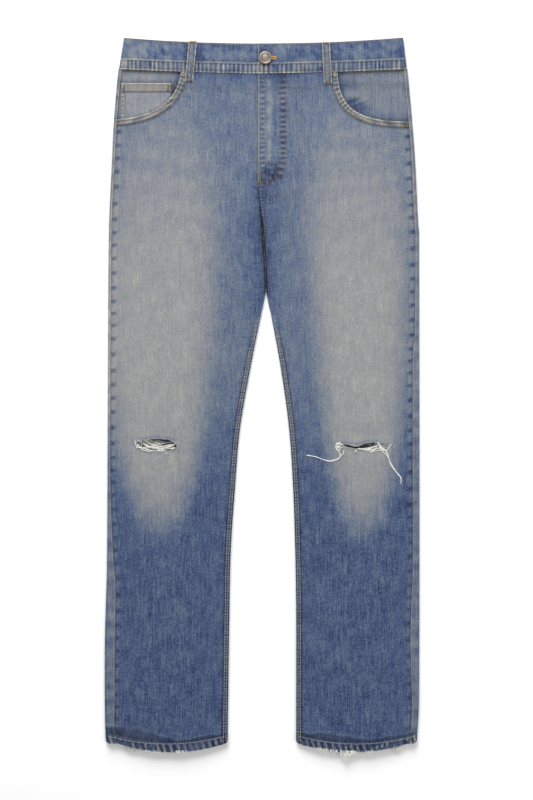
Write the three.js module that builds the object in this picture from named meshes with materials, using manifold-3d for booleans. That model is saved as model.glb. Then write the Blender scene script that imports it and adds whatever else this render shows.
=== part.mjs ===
// Ripped five-pocket jeans, lying flat on their back with the front up.
// Millimetres. +Z is up from the surface that they lie on, +Y runs from the hems to the waist,
// and +X is towards the wearer's left. The origin is on the surface, at the middle of the
// garment's box. Each cut piece is one closed wall of cloth, and the layers are stacked: back
// pockets and back belt loops on the surface, then the back, the pocket facings, the coin
// pocket and the front.
import * as THREE from 'three';
import Module from 'manifold-3d';
import { mergeVertices } from 'three/addons/utils/BufferGeometryUtils.js';

const { lerp, smoothstep } = THREE.MathUtils;
const wasm = await Module();
wasm.setup();

// Cloth
const CLOTH = 1.2; // one layer of denim
const GAP = 0.3; // clearance between pieces that meet
const HEM_CLOTH = 2.4; // the turned-up hem
const BAND_CLOTH = 2.4; // the doubled waistband
const COIN_CLOTH = 1.0;
const FRONT_LOOP_CLOTH = 1.5;

// Waist
const WAIST_Y = 481.5; // the waist seam at the centre
const WAIST_BOW = 6.7; // how much higher it is at the sides
const BAND_TOP_Y = 526.5; // top of the waistband at the centre
const BAND_TOP_BOW = 9;
const HALF_WAIST = 212;
const BAND_EXTENSION = 36; // end of the waistband's underlap, wearer's right half
const BAND_HEIGHT = 7.8; // top face of the waistband's front, at the sides

// Legs
const HEM_Y = -522.7;
const HEM_BOW = 12.8; // how much lower the hem hangs at the middle of each leg
const HEM_DEPTH = 12;
const CROTCH_Y = 253;

// Fly
const FLY_END_Y = 313.5;
const FLY_EDGE_X = -6; // free edge of the wearer's left front
const FLY_UNDERLAP_X = 18; // edge of the wearer's right front, under the fly
const FLY_LIFT = 2.8; // room under the fly for the zip and the underlap
const ZIP_X = 10.5;

// Belt loops and what they lift
const LOOP_WIDTH = 12;
const BACK_LOOP_CLOTH = 1.2;
const LOOP_LIFT = BACK_LOOP_CLOTH + GAP;
const LIFT_FROM_Y = 452;
const LIFT_TO_Y = 466;

// Heights of the undersides of the layers over the legs and hips
const FACING_HEIGHT = CLOTH + GAP;
const COIN_HEIGHT = FACING_HEIGHT + CLOTH + GAP;
const FRONT_HEIGHT = COIN_HEIGHT + COIN_CLOTH + 0.4;
const ZIP_HEIGHT = FRONT_HEIGHT + CLOTH + GAP;
const LEG_CROWN = [[0, 3], [0.1, 3.9], [0.3, 4.6], [0.65, 4.6], [0.9, 3.4], [1, CLOTH + GAP]];

// Back pockets
const POCKET_INNER_X = 40;
const POCKET_OUTER_X = 175;
const POCKET_TOP_Y = 379;
const POCKET_CORNER_Y = 264;
const POCKET_POINT_Y = 235;
const POCKET_TAPER = 9;
const POCKET_MARGIN = 6; // from a pocket's edge to where the back has risen over it
const POCKET_RAMP = 6;

// Yoke seam across the back
const YOKE_CENTRE_Y = 409;
const YOKE_SIDE_Y = 444;

// Rows and columns of the panels' walls
const PANEL_ROWS = [
  HEM_Y, HEM_Y + HEM_DEPTH, HEM_Y + HEM_DEPTH + 2, -480, -440, -400, -322, -277, -232, -187,
  -142, -97, -52, -8, 37, 75, 112, 135, 153, 166, 183, 200,
  POCKET_POINT_Y - POCKET_MARGIN - POCKET_RAMP, POCKET_POINT_Y - POCKET_MARGIN, CROTCH_Y, 268,
  285, 299, FLY_END_Y, 330, 355, POCKET_TOP_Y + POCKET_MARGIN,
  POCKET_TOP_Y + POCKET_MARGIN + POCKET_RAMP, 403, 415, 428, 440, LIFT_FROM_Y, 459, LIFT_TO_Y,
  474, WAIST_Y,
];
const FRONT_COLUMNS = [0, 0.03, 0.1, 0.3, 0.5, 0.65, 0.82, 0.93, 1]; // outseam to inner edge

const DENIM = '#7186a3';
const DARK_DENIM = '#5a7098';
const THREAD_GREY = '#8f949c';
const OLD_BRASS = '#8f8a7c';

// Straight lines through [position, value] pairs, level beyond the ends.
function ramp(points) {
  return (at) => {
    const next = points.findIndex(([position]) => position > at);
    if (next === 0) return points[0][1];
    if (next < 0) return points[points.length - 1][1];
    const [fromAt, fromValue] = points[next - 1];
    const [toAt, toValue] = points[next];
    return lerp(fromValue, toValue, (at - fromAt) / (toAt - fromAt));
  };
}

// A smooth curve through [position, value] pairs, level beyond the ends.
function profile(points) {
  const slopes = points.map((point, i) => {
    const before = points[Math.max(i - 1, 0)];
    const after = points[Math.min(i + 1, points.length - 1)];
    return (after[1] - before[1]) / (after[0] - before[0]);
  });
  return (at) => {
    const next = points.findIndex(([position]) => position > at);
    if (next === 0) return points[0][1];
    if (next < 0) return points[points.length - 1][1];
    const [fromAt, fromValue] = points[next - 1];
    const [toAt, toValue] = points[next];
    const span = toAt - fromAt;
    const s = (at - fromAt) / span;
    const eased = s * s * (3 - 2 * s);
    const leaving = s * (1 - s) * (1 - s) * span * slopes[next - 1];
    const arriving = s * s * (s - 1) * span * slopes[next];
    return lerp(fromValue, toValue, eased) + leaving + arriving;
  };
}

// The two halves of the garment. outline is the distance of the outer edge from the centre
// plane, flap is how far the back comes round onto the front, and inseam is x of the inner
// edge of the leg. The scoop of the front pocket is a Bezier curve from the waist seam.
const RIGHT = {
  name: 'right',
  sign: -1,
  outline: profile([
    [-520, 234], [-480, 235.5], [-367, 235.5], [-255, 232.5], [15, 231], [247, 229.5],
    [352, 225], [412, 222], [480, 215.3], [535.5, 207],
  ]),
  flap: profile([[-520, 14], [-300, 14], [-240, 9], [-120, 4], [390, 4], [480, 5]]),
  inseam: profile([
    [-500, -51], [-322, -48.5], [-232, -46.5], [-142, -40.5], [-52, -33], [37, -18],
    [112, -3], [153, 5.5], [166, 6], [200, 4.5], [232, 2], [CROTCH_Y, 0.5],
  ]),
  scoop: [[-121.5, 486], [-125, 442], [-160, 416], [-219, 413]],
  rip: { x: -157.5, y: -75.7, length: 56, width: 12 },
  loop: { top: [-103.5, 530], bottom: [-109.5, 470] },
  rivet: [-118, 480.4],
};
const LEFT = {
  name: 'left',
  sign: 1,
  outline: profile([
    [-514, 232.5], [-457, 235.5], [240, 235.5], [262, 234], [352, 229.5], [412, 225],
    [480, 218], [535.5, 211.5],
  ]),
  flap: profile([[-520, 10], [-475, 10], [-360, 13], [-260, 10], [50, 9.5], [110, 6], [480, 5]]),
  inseam: profile([
    [-500, 51], [-322, 51], [-232, 49.5], [-142, 46.5], [-52, 40.5], [37, 28.5],
    [112, 15], [153, 6.5], [166, 6], [200, 4.5], [232, 2], [CROTCH_Y, 0.5],
  ]),
  scoop: [[113.3, 486], [114, 432], [140, 409], [222, 409.8]],
  rip: { x: 147.7, y: -75.5, length: 52, width: 5 },
  loop: { top: [95.6, 528.5], bottom: [99, 467] },
  rivet: [109.2, 479.8],
};

const legCrown = profile(LEG_CROWN);
const centreFront = profile([[CROTCH_Y, 0.5], [285, -3], [FLY_END_Y, FLY_EDGE_X]]);
const waistSeam = (x) => WAIST_Y + WAIST_BOW * (Math.abs(x) / HALF_WAIST) ** 1.4;
const bandTop = (x) => BAND_TOP_Y + BAND_TOP_BOW * (Math.abs(x) / HALF_WAIST) ** 2;
const clothAt = ramp([[HEM_Y + HEM_DEPTH, HEM_CLOTH], [HEM_Y + HEM_DEPTH + 2, CLOTH]]);
const lift = (y) => LOOP_LIFT * smoothstep(y, LIFT_FROM_Y, LIFT_TO_Y);

// Rows bow up with the waist seam and down with the hem. across runs from 0 at the outer
// edge of a leg to 1 at its inner edge.
function bow(x, y, across) {
  const waist = (waistSeam(x) - WAIST_Y) * smoothstep(y, 400, WAIST_Y);
  const hem = HEM_BOW * 4 * across * (1 - across) * (1 - smoothstep(y, HEM_Y, -400));
  return y + waist - hem;
}

// Underside of the front panels: crowned over the legs, level over the hips, and lifted at
// the waist by the belt loops behind.
function frontUnderside(across, y) {
  const resting = lerp(legCrown(across), FRONT_HEIGHT, smoothstep(y, 200, 300));
  return resting + lift(y) + clothAt(y) - CLOTH;
}

// A closed wall between two grids of points, outer[row][column] and inner[row][column].
function wall(outer, inner) {
  const lastRow = outer.length - 1;
  const lastColumn = outer[0].length - 1;
  const points = [...outer.flat(), ...inner.flat()];
  const out = (row, column) => row * (lastColumn + 1) + column;
  const inn = (row, column) => out(row, column) + points.length / 2;
  const index = [];
  const quad = (a, b, c, d) => index.push(a, b, c, a, c, d);
  for (let row = 0; row < lastRow; row += 1) {
    const next = row + 1;
    for (let column = 0; column < lastColumn; column += 1) {
      quad(out(row, column), out(row, column + 1), out(next, column + 1), out(next, column));
      quad(inn(row, column), inn(next, column), inn(next, column + 1), inn(row, column + 1));
    }
    quad(out(row, 0), out(next, 0), inn(next, 0), inn(row, 0));
    quad(out(row, lastColumn), inn(row, lastColumn), inn(next, lastColumn), out(next, lastColumn));
  }
  for (let column = 0; column < lastColumn; column += 1) {
    const next = column + 1;
    quad(out(0, column), inn(0, column), inn(0, next), out(0, next));
    quad(out(lastRow, column), out(lastRow, next), inn(lastRow, next), inn(lastRow, column));
  }
  const geometry = new THREE.BufferGeometry().setFromPoints(points);
  geometry.setIndex(index);
  if (volume(geometry) < 0) geometry.setIndex(index.reverse());
  return geometry;
}

function volume(geometry) {
  const { position } = geometry.attributes;
  const { array } = geometry.index;
  const [a, b, c] = [0, 1, 2].map(() => new THREE.Vector3());
  let sum = 0;
  for (let i = 0; i < array.length; i += 3) {
    a.fromBufferAttribute(position, array[i]);
    b.fromBufferAttribute(position, array[i + 1]);
    c.fromBufferAttribute(position, array[i + 2]);
    sum += a.dot(b.cross(c)) / 6;
  }
  return sum;
}

// An upright prism on a plan outline.
function prism(outline, bottom, top) {
  const shape = new THREE.Shape(outline.map(([x, y]) => new THREE.Vector2(x, y)));
  const geometry = new THREE.ExtrudeGeometry(shape, { depth: top - bottom, bevelEnabled: false });
  return geometry.translate(0, 0, bottom);
}

function asManifold(geometry) {
  const plain = geometry.clone();
  plain.deleteAttribute('normal');
  plain.deleteAttribute('uv');
  const merged = mergeVertices(plain);
  return new wasm.Manifold(new wasm.Mesh({
    numProp: 3,
    vertProperties: new Float32Array(merged.attributes.position.array),
    triVerts: new Uint32Array(merged.index.array),
  }));
}

function asGeometry(manifold) {
  const mesh = manifold.getMesh();
  const geometry = new THREE.BufferGeometry();
  geometry.setAttribute('position', new THREE.BufferAttribute(mesh.vertProperties, 3));
  geometry.setIndex(new THREE.BufferAttribute(mesh.triVerts, 1));
  return geometry;
}

const cut = (geometry, tool) => asGeometry(asManifold(geometry).subtract(asManifold(tool)));
const keep = (geometry, tool) => asGeometry(asManifold(geometry).intersect(asManifold(tool)));

// The two faces of a wall from a function of row and column that gives [x, y, underside, cloth].
function slab(rows, columns, at) {
  const face = (pick) => rows.map((row) => columns.map((column) => {
    const [x, y, underside, cloth] = at(row, column);
    return new THREE.Vector3(x, y, underside + pick * cloth);
  }));
  return wall(face(1), face(0));
}

// Plan of a front pocket's mouth, grown inward and downward, closed out past the side.
function mouth(side, inward, down) {
  const [start, startPull, endPull, end] = side.scoop.map(
    ([x, y]) => new THREE.Vector2(x - side.sign * inward, y - down),
  );
  const edge = new THREE.CubicBezierCurve(start, startPull, endPull, end).getPoints(14);
  const beyond = side.sign * 300;
  return [
    [start.x, 600],
    ...edge.map(({ x, y }) => [x, y]),
    [beyond, end.y],
    [beyond, 600],
  ];
}

function ellipse({ x, y, length, width }, steps) {
  return Array.from({ length: steps }, (_, i) => {
    const angle = (2 * Math.PI * i) / steps;
    return [x + (length / 2) * Math.cos(angle), y + (width / 2) * Math.sin(angle)];
  });
}

// A front: one wall from the outseam to the inseam or the fly, with its pocket mouth cut out
// and its knee ripped through.
function frontPanel(side) {
  const innerEdge = (y) => {
    if (y < CROTCH_Y) return side.inseam(y) + side.sign * GAP;
    if (side === LEFT) return centreFront(y) + GAP / 2;
    return ramp([[FLY_END_Y, centreFront(y) - GAP / 2], [330, FLY_UNDERLAP_X]])(y);
  };
  const flyLift = (x, y) => {
    if (side === RIGHT) return 0;
    return FLY_LIFT * (1 - smoothstep(x, BAND_EXTENSION, 75)) * smoothstep(y, 285, 312);
  };
  const panel = slab(PANEL_ROWS, FRONT_COLUMNS, (y, across) => {
    const seam = side.sign * (side.outline(y) - side.flap(y) - GAP);
    const x = lerp(seam, innerEdge(y), across);
    return [x, bow(x, y, across), frontUnderside(across, y) + flyLift(x, y), clothAt(y)];
  });
  const opened = cut(panel, prism(mouth(side, 0, 0), -10, 30));
  return cut(opened, prism(ellipse(side.rip, 16), -10, 30));
}

// The whole back of one side: from its edge on the front, round the outer edge and across
// the back to the inseam or the centre-back seam, risen over the back pocket.
function backWall(side) {
  const margins = [POCKET_MARGIN + POCKET_RAMP, POCKET_MARGIN];
  const overPocket = [
    ...margins.map((margin) => POCKET_OUTER_X + margin),
    (POCKET_OUTER_X + POCKET_INNER_X) / 2,
    ...margins.map((margin) => POCKET_INNER_X - margin).reverse(),
  ];
  const raisedX = ramp([
    [overPocket[4], 0], [overPocket[3], 1], [overPocket[1], 1], [overPocket[0], 0],
  ]);
  const raisedY = ramp([
    [POCKET_POINT_Y - margins[0], 0], [POCKET_POINT_Y - margins[1], 1],
    [POCKET_TOP_Y + margins[1], 1], [POCKET_TOP_Y + margins[0], 0],
  ]);
  const section = (y, depth) => {
    const bottom = lift(y);
    const height = frontUnderside(0, y) + clothAt(y) - bottom;
    const radius = height / 2;
    const edge = side.outline(y);
    const point = (distance, z, across = 0) => {
      const x = side.sign * distance;
      return new THREE.Vector3(x, bow(x, y, across), z);
    };
    const fold = [90, 135, 180, 225, 270].map((degrees) => {
      const angle = THREE.MathUtils.degToRad(degrees);
      const reach = radius - depth;
      return point(
        edge - radius - reach * Math.cos(angle),
        bottom + radius + reach * Math.sin(angle),
      );
    });
    const innerEdge = y < CROTCH_Y
      ? side.sign * side.inseam(y) + GAP
      : GAP / 2 + side.sign * 0.5 * (1 - smoothstep(y, CROTCH_Y, 330));
    const hip = smoothstep(y, 160, POCKET_POINT_Y - margins[0]);
    const flat = overPocket.map((distance, i) => {
      const share = (i + 1) / (overPocket.length + 1);
      const spread = lerp(edge - radius, innerEdge, share);
      const raise = (CLOTH + GAP) * raisedX(distance) * raisedY(y);
      return point(lerp(spread, distance, hip), bottom + raise + depth, share);
    });
    return [
      point(edge - side.flap(y), bottom + height - depth),
      ...fold,
      ...flat,
      point(innerEdge, bottom + depth, 1),
    ];
  };
  return wall(
    PANEL_ROWS.map((y) => section(y, 0)),
    PANEL_ROWS.map((y) => section(y, clothAt(y))),
  );
}

// The yoke seam parts the back wall into the yoke and the leg's back.
function yokeAndBack(side) {
  const seam = (distance, offset) => [
    side.sign * distance,
    YOKE_CENTRE_Y + ((YOKE_SIDE_Y - YOKE_CENTRE_Y) * distance) / side.outline(YOKE_SIDE_Y) + offset,
  ];
  const whole = backWall(side);
  const above = [seam(-10, GAP / 2), seam(280, GAP / 2), [side.sign * 280, 600], [-side.sign * 10, 600]];
  const below = [seam(-10, -GAP / 2), seam(280, -GAP / 2), [side.sign * 280, -600], [-side.sign * 80, -600]];
  return {
    yoke: keep(whole, prism(above, -10, 30)),
    back: keep(whole, prism(below, -10, 30)),
  };
}

function backPocket(side) {
  const outline = [
    [POCKET_INNER_X, POCKET_TOP_Y],
    [POCKET_OUTER_X, POCKET_TOP_Y],
    [POCKET_OUTER_X - POCKET_TAPER, POCKET_CORNER_Y],
    [(POCKET_INNER_X + POCKET_OUTER_X) / 2, POCKET_POINT_Y],
    [POCKET_INNER_X + POCKET_TAPER, POCKET_CORNER_Y],
  ];
  return prism(outline.map(([x, y]) => [side.sign * x, y]), 0, CLOTH);
}

// The denim facing behind a front pocket's mouth, tucked under the front and the side flap.
function pocketFacing(side) {
  const rows = PANEL_ROWS.filter((y) => y > 390);
  const sheet = slab(rows, [0, 0.25, 0.5, 0.75, 1], (y, across) => {
    const x = side.sign * lerp(side.outline(y) - 4, 95, across);
    return [x, bow(x, y, 0), FACING_HEIGHT + lift(y), CLOTH];
  });
  return keep(sheet, prism(mouth(side, 14, 10), -10, 30));
}

// The small pocket on the wearer's right facing, with its foot under the front.
function coinPocket() {
  const topY = 467.4;
  const rows = [...PANEL_ROWS.filter((y) => y > 400 && y < topY - 1), topY];
  const sheet = slab(rows, [-211, -184, -157, -131], (y, x) => (
    [x, y, COIN_HEIGHT + lift(y), COIN_CLOTH]
  ));
  return keep(sheet, prism(mouth(RIGHT, 9, 7), -10, 30));
}

// The zip under the fly: a tape with a ridge of teeth along it.
function flyZip() {
  const halfTape = 14;
  const halfTeeth = 2.5;
  const columns = [
    [-halfTape, 0.6], [-halfTeeth - 1, 0.6], [-halfTeeth, 1], [halfTeeth, 1],
    [halfTeeth + 1, 0.6], [halfTape, 0.6],
  ];
  const rows = [332, ...PANEL_ROWS.filter((y) => y >= LIFT_FROM_Y && y < WAIST_Y), WAIST_Y - 1];
  return slab(rows, columns, (y, [offset, cloth]) => (
    [ZIP_X + offset, y, ZIP_HEIGHT + lift(y), cloth]
  ));
}

// The waistband: one doubled strip round the waist, from the overlap at centre front round
// the wearer's left side, the back and the right side to the underlap under its own start.
function waistband() {
  const radius = (BAND_HEIGHT - LOOP_LIFT) / 2;
  const overlap = BAND_CLOTH + GAP;
  const strip = (top, depth) => {
    const edgeOf = (side) => side.outline(top ? 535 : 488);
    const at = (x, z) => (
      new THREE.Vector3(x, top ? bandTop(x) : waistSeam(x) + GAP, z)
    );
    const fold = (side) => [90, 135, 180, 225, 270].map((degrees) => {
      const angle = THREE.MathUtils.degToRad(degrees);
      const reach = radius - depth;
      const distance = edgeOf(side) - radius - reach * Math.cos(angle);
      return at(side.sign * distance, LOOP_LIFT + radius + reach * Math.sin(angle));
    });
    const face = BAND_HEIGHT - depth;
    return [
      ...[FLY_EDGE_X, 16, BAND_EXTENSION + 2].map((x) => at(x, face + overlap)),
      ...[75, 110, 145, 180].map((x) => at(x, face)),
      ...fold(LEFT),
      ...[170, 120, 60, 0, -60, -120, -170].map((x) => at(x, LOOP_LIFT + depth)),
      ...fold(RIGHT).reverse(),
      ...[-180, -145, -110, -75, -35, 0, BAND_EXTENSION].map((x) => at(x, face)),
    ];
  };
  const band = wall(
    [strip(false, 0), strip(true, 0)],
    [strip(false, BAND_CLOTH), strip(true, BAND_CLOTH)],
  );
  return cut(band, prism(buttonhole(), BAND_HEIGHT + GAP / 2, BAND_HEIGHT + 2 * overlap));
}

const BUTTON = { x: 5, y: 505, radius: 9.5, neck: 2.2 };

// A round eye where the button's neck stands, and a slit from it away from the fly's edge.
function buttonhole() {
  const eye = 3;
  const halfSlit = 1;
  const slitEnd = 27;
  const start = Math.asin(halfSlit / eye);
  const steps = 10;
  const round = Array.from({ length: steps + 1 }, (_, i) => {
    const angle = start + ((2 * Math.PI - 2 * start) * i) / steps;
    return [BUTTON.x + eye * Math.cos(angle), BUTTON.y + eye * Math.sin(angle)];
  });
  return [...round, [slitEnd, BUTTON.y - halfSlit], [slitEnd, BUTTON.y + halfSlit]];
}

// A shank button: a neck up through the buttonhole and a rimmed cap with a raised centre.
function button() {
  const foot = BAND_HEIGHT + GAP;
  const seat = BAND_HEIGHT + BAND_CLOTH + 2 * GAP;
  const { radius, neck } = BUTTON;
  const section = [
    [0, foot], [neck, foot], [neck, seat], [radius - 1.5, seat], [radius, seat + 1],
    [radius, seat + 2], [radius - 1, seat + 3], [radius - 2.2, seat + 2.9],
    [radius - 3, seat + 2.2], [4.6, seat + 2.3], [3.8, seat + 2.9], [0, seat + 3.2],
  ];
  const geometry = new THREE.LatheGeometry(section.map(([r, z]) => new THREE.Vector2(r, z)), 24);
  geometry.rotateX(Math.PI / 2);
  return geometry.translate(BUTTON.x, BUTTON.y, 0);
}

function rivet(side) {
  const base = FRONT_HEIGHT + LOOP_LIFT + CLOTH + GAP;
  const section = [
    [0, base], [3, base], [3.2, base + 0.4], [2.6, base + 1], [1.6, base + 1], [1.1, base + 0.6],
    [0, base + 0.6],
  ];
  const geometry = new THREE.LatheGeometry(section.map(([r, z]) => new THREE.Vector2(r, z)), 16);
  geometry.rotateX(Math.PI / 2);
  return geometry.translate(...side.rivet, 0);
}

// A belt loop on the front: tacked down on the panel and at the top of the waistband.
function frontLoop(side) {
  const [topX, topY] = side.loop.top;
  const [bottomX, bottomY] = side.loop.bottom;
  const panelTop = FRONT_HEIGHT + LOOP_LIFT + CLOTH + GAP;
  const bandFace = BAND_HEIGHT + GAP;
  const stations = [
    [0, panelTop], [0.12, panelTop + 0.1], [0.22, bandFace + 0.1], [0.32, bandFace + 0.7],
    [0.6, bandFace + 0.9], [0.88, bandFace + 0.6], [1, bandFace],
  ];
  return slab(stations, [-LOOP_WIDTH / 2, LOOP_WIDTH / 2], ([along, underside], offset) => [
    lerp(bottomX, topX, along) + offset,
    lerp(bottomY, topY, along),
    underside,
    FRONT_LOOP_CLOTH,
  ]);
}

function backLoop(x) {
  const bottomY = waistSeam(x) - 14;
  const topY = bandTop(x) - 1;
  const half = LOOP_WIDTH / 2;
  return prism(
    [[x - half, bottomY], [x + half, bottomY], [x + half, topY], [x - half, topY]],
    0,
    BACK_LOOP_CLOTH,
  );
}

const jeans = new THREE.Group();

function add(name, geometry, color, metalness = 0, roughness = 0.9) {
  const material = new THREE.MeshStandardMaterial({ color, metalness, roughness, flatShading: true });
  const mesh = new THREE.Mesh(geometry, material);
  mesh.name = name;
  jeans.add(mesh);
}

for (const side of [RIGHT, LEFT]) {
  const { yoke, back } = yokeAndBack(side);
  add(`front_panel_${side.name}`, frontPanel(side), DENIM);
  add(`back_panel_${side.name}`, back, DENIM);
  add(`yoke_${side.name}`, yoke, DARK_DENIM);
  add(`back_pocket_${side.name}`, backPocket(side), DENIM);
  add(`pocket_facing_${side.name}`, pocketFacing(side), DARK_DENIM);
  add(`belt_loop_front_${side.name}`, frontLoop(side), DENIM);
  add(`belt_loop_back_${side.name}`, backLoop(side.sign * 150), DENIM);
  add(`rivet_${side.name}`, rivet(side), OLD_BRASS, 0.9, 0.45);
}
add('belt_loop_back_centre', backLoop(0), DENIM);
add('coin_pocket', coinPocket(), DENIM);
add('fly_zip', flyZip(), THREAD_GREY, 0.3, 0.6);
add('waistband', waistband(), DARK_DENIM);
add('button', button(), OLD_BRASS, 0.9, 0.4);

export default jeans;
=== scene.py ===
"""Ripped five-pocket jeans laid flat on their back: the visible cloth, thread and metal.

Shapes are worked out in millimetres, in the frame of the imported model, and turned into metres
when a mesh is made. +X is towards the wearer's left, +Y towards the waist, +Z up.
"""

import math

import bpy
import numpy as np
from mathutils.bvhtree import BVHTree
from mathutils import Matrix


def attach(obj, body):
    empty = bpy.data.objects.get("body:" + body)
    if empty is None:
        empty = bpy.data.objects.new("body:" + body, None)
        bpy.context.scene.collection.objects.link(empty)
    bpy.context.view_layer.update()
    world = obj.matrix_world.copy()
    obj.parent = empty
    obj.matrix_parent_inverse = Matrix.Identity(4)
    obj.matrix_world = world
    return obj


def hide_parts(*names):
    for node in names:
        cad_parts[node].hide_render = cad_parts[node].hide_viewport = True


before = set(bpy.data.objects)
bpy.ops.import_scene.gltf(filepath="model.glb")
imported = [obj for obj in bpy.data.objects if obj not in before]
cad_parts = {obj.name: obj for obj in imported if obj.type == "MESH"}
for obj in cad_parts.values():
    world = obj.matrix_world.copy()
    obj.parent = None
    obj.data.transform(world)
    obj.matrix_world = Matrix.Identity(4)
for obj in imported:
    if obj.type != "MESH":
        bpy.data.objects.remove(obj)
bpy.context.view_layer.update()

MM = 0.001
CLOTH = 1.2
GAP = 0.3
RIGHT, LEFT = -1, 1
SIDES = (RIGHT, LEFT)
SIDE_NAMES = {RIGHT: "right", LEFT: "left"}
# A distance given to points that a seam or an edge does not reach
FAR = 99.0

# Waist, hem, crotch and the rips' height
WAIST_Y = 481.5
WAIST_BOW = 6.7
BAND_TOP_Y = 526.5
BAND_TOP_BOW = 9.0
HALF_WAIST = 212.0
HEM_Y = -522.7
HEM_BOW = 12.8
HEM_DEPTH = 12.0
HEM_STITCH = 12.2
CORNER = 6.0
HEM_EXTRA = 1.2
CROTCH_Y = 253.0
KNEE_Y = (-92, -58)

# Layers' heights
FRONT_HEIGHT = 4.4
FACING_HEIGHT = 1.5
COIN_HEIGHT = 3.0
LOOP_LIFT = 1.5
BAND_HEIGHT = 7.8
BAND_CLOTH = 2.4
BAND_RADIUS = (BAND_HEIGHT - LOOP_LIFT) / 2
OVERLAP = BAND_CLOTH + GAP

# Where a leg's crown gives way to the flat hip, and where the back loops begin to hold the cloth up
LEG_TOP_Y, HIP_Y = 200, 300
LIFT_LOW_Y, LIFT_HIGH_Y = 452, 466

# Fly
FLY_END_Y = 313.5
FLY_EDGE_X = -6.0
FLY_UNDERLAP_X = 18.0
FLY_LIFT = 2.8
FLY_STITCH_TOP_Y = 481
FLY_TURN_Y = 352
BAND_EXTENSION = 36.0
OVERLAP_END_X = 75.0
BAND_SIDE_Y = (488.0, 535.0)
BUTTON_X = 5.0
BUTTON_Y = 505.0

# Coin pocket, back pockets, yoke and belt loops
COIN_TOP_Y = 467.4
COIN_OUTER_X = -211
COIN_INNER_X = -131
POCKET_INNER_X = 40.0
POCKET_OUTER_X = 175.0
POCKET_TOP_Y = 379.0
POCKET_CORNER_Y = 264.0
POCKET_POINT_Y = 235.0
POCKET_TAPER = 9.0
BACK_LOOP_X = 150
LOOP_HALF_WIDTH = 6
LOOP_LENGTH = 60
YOKE_CENTRE_Y = 409.0
YOKE_SIDE_Y = 444.0


# ---------------------------------------------------------------- curves and soft shapes

def smoothstep(low, high, value):
    t = np.clip((value - low) / (high - low), 0.0, 1.0)
    return t * t * (3 - 2 * t)


def mix(a, b, t):
    return a + (b - a) * t


def bell(distance, reach, power=2):
    """1 at no distance, and softly down to 0 past the reach."""
    return np.exp(-(distance / reach) ** power)


def smooth_curve(points):
    """A smooth curve through (position, value) pairs, level beyond its ends."""
    at, value = np.array(points, float).T
    slope = np.empty_like(value)
    slope[1:-1] = (value[2:] - value[:-2]) / (at[2:] - at[:-2])
    slope[0] = (value[1] - value[0]) / (at[1] - at[0])
    slope[-1] = (value[-1] - value[-2]) / (at[-1] - at[-2])

    def evaluate(x):
        x = np.clip(np.asarray(x, float), at[0], at[-1])
        i = np.clip(np.searchsorted(at, x, "right") - 1, 0, len(at) - 2)
        span = at[i + 1] - at[i]
        s = (x - at[i]) / span
        eased = s * s * (3 - 2 * s)
        leaving = s * (1 - s) ** 2 * span * slope[i]
        arriving = s * s * (s - 1) * span * slope[i + 1]
        return mix(value[i], value[i + 1], eased) + leaving + arriving

    return evaluate


def bezier(points):
    p = np.array(points, float)
    t = np.linspace(0, 1, 60)[:, None]
    s = 1 - t
    return s**3 * p[0] + 3 * s * s * t * p[1] + 3 * s * t * t * p[2] + t**3 * p[3]


def polyline_distance(x, y, line):
    """Distance from points to a polyline, and the distance along it of the nearest point."""
    line = np.asarray(line, float)
    best = np.full(np.shape(x), 1e9)
    along = np.zeros(np.shape(x))
    travelled = 0.0
    for (ax, ay), (bx, by) in zip(line[:-1], line[1:]):
        dx, dy = bx - ax, by - ay
        length = math.hypot(dx, dy)
        t = np.clip(((x - ax) * dx + (y - ay) * dy) / (length * length), 0, 1)
        distance = np.hypot(x - ax - t * dx, y - ay - t * dy)
        closer = distance < best
        best = np.where(closer, distance, best)
        along = np.where(closer, travelled + t * length, along)
        travelled += length
    return best, along


def inside(x, y, outline):
    """Whether points are inside a closed outline."""
    outline = np.asarray(outline, float)
    result = np.zeros(np.shape(x), bool)
    for (ax, ay), (bx, by) in zip(outline, np.roll(outline, -1, axis=0)):
        if ay == by:
            continue
        crosses = (ay > y) != (by > y)
        result ^= crosses & (x < (bx - ax) * (y - ay) / (by - ay) + ax)
    return result


def waver(along, pitch, seed):
    """An uneven wave of about this pitch, from -1 to 1."""
    drift = 0.9 * np.sin(along / (2.3 * pitch) + seed) + 0.7 * np.sin(along / (0.9 * pitch) + 2 * seed)
    return np.sin(2 * math.pi * along / pitch + drift + seed)


def crest(wave):
    return np.clip(wave, 0, 1)


def hollow(wave):
    return np.clip(-wave, 0, 1)


def lumps(x, y, size, seed):
    """Soft uneven swellings of about this size, from about -1 to 1."""
    rng = np.random.default_rng(seed)
    total = np.zeros(np.shape(x))
    count = 9
    for _ in range(count):
        angle = rng.uniform(0, math.pi)
        pitch = size * rng.uniform(0.7, 1.9)
        phase = rng.uniform(0, 2 * math.pi)
        total += np.sin(2 * math.pi * (x * math.cos(angle) + y * math.sin(angle)) / pitch + phase)
    return total / count * 1.8


# ---------------------------------------------------------------- outlines of the garment

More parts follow.
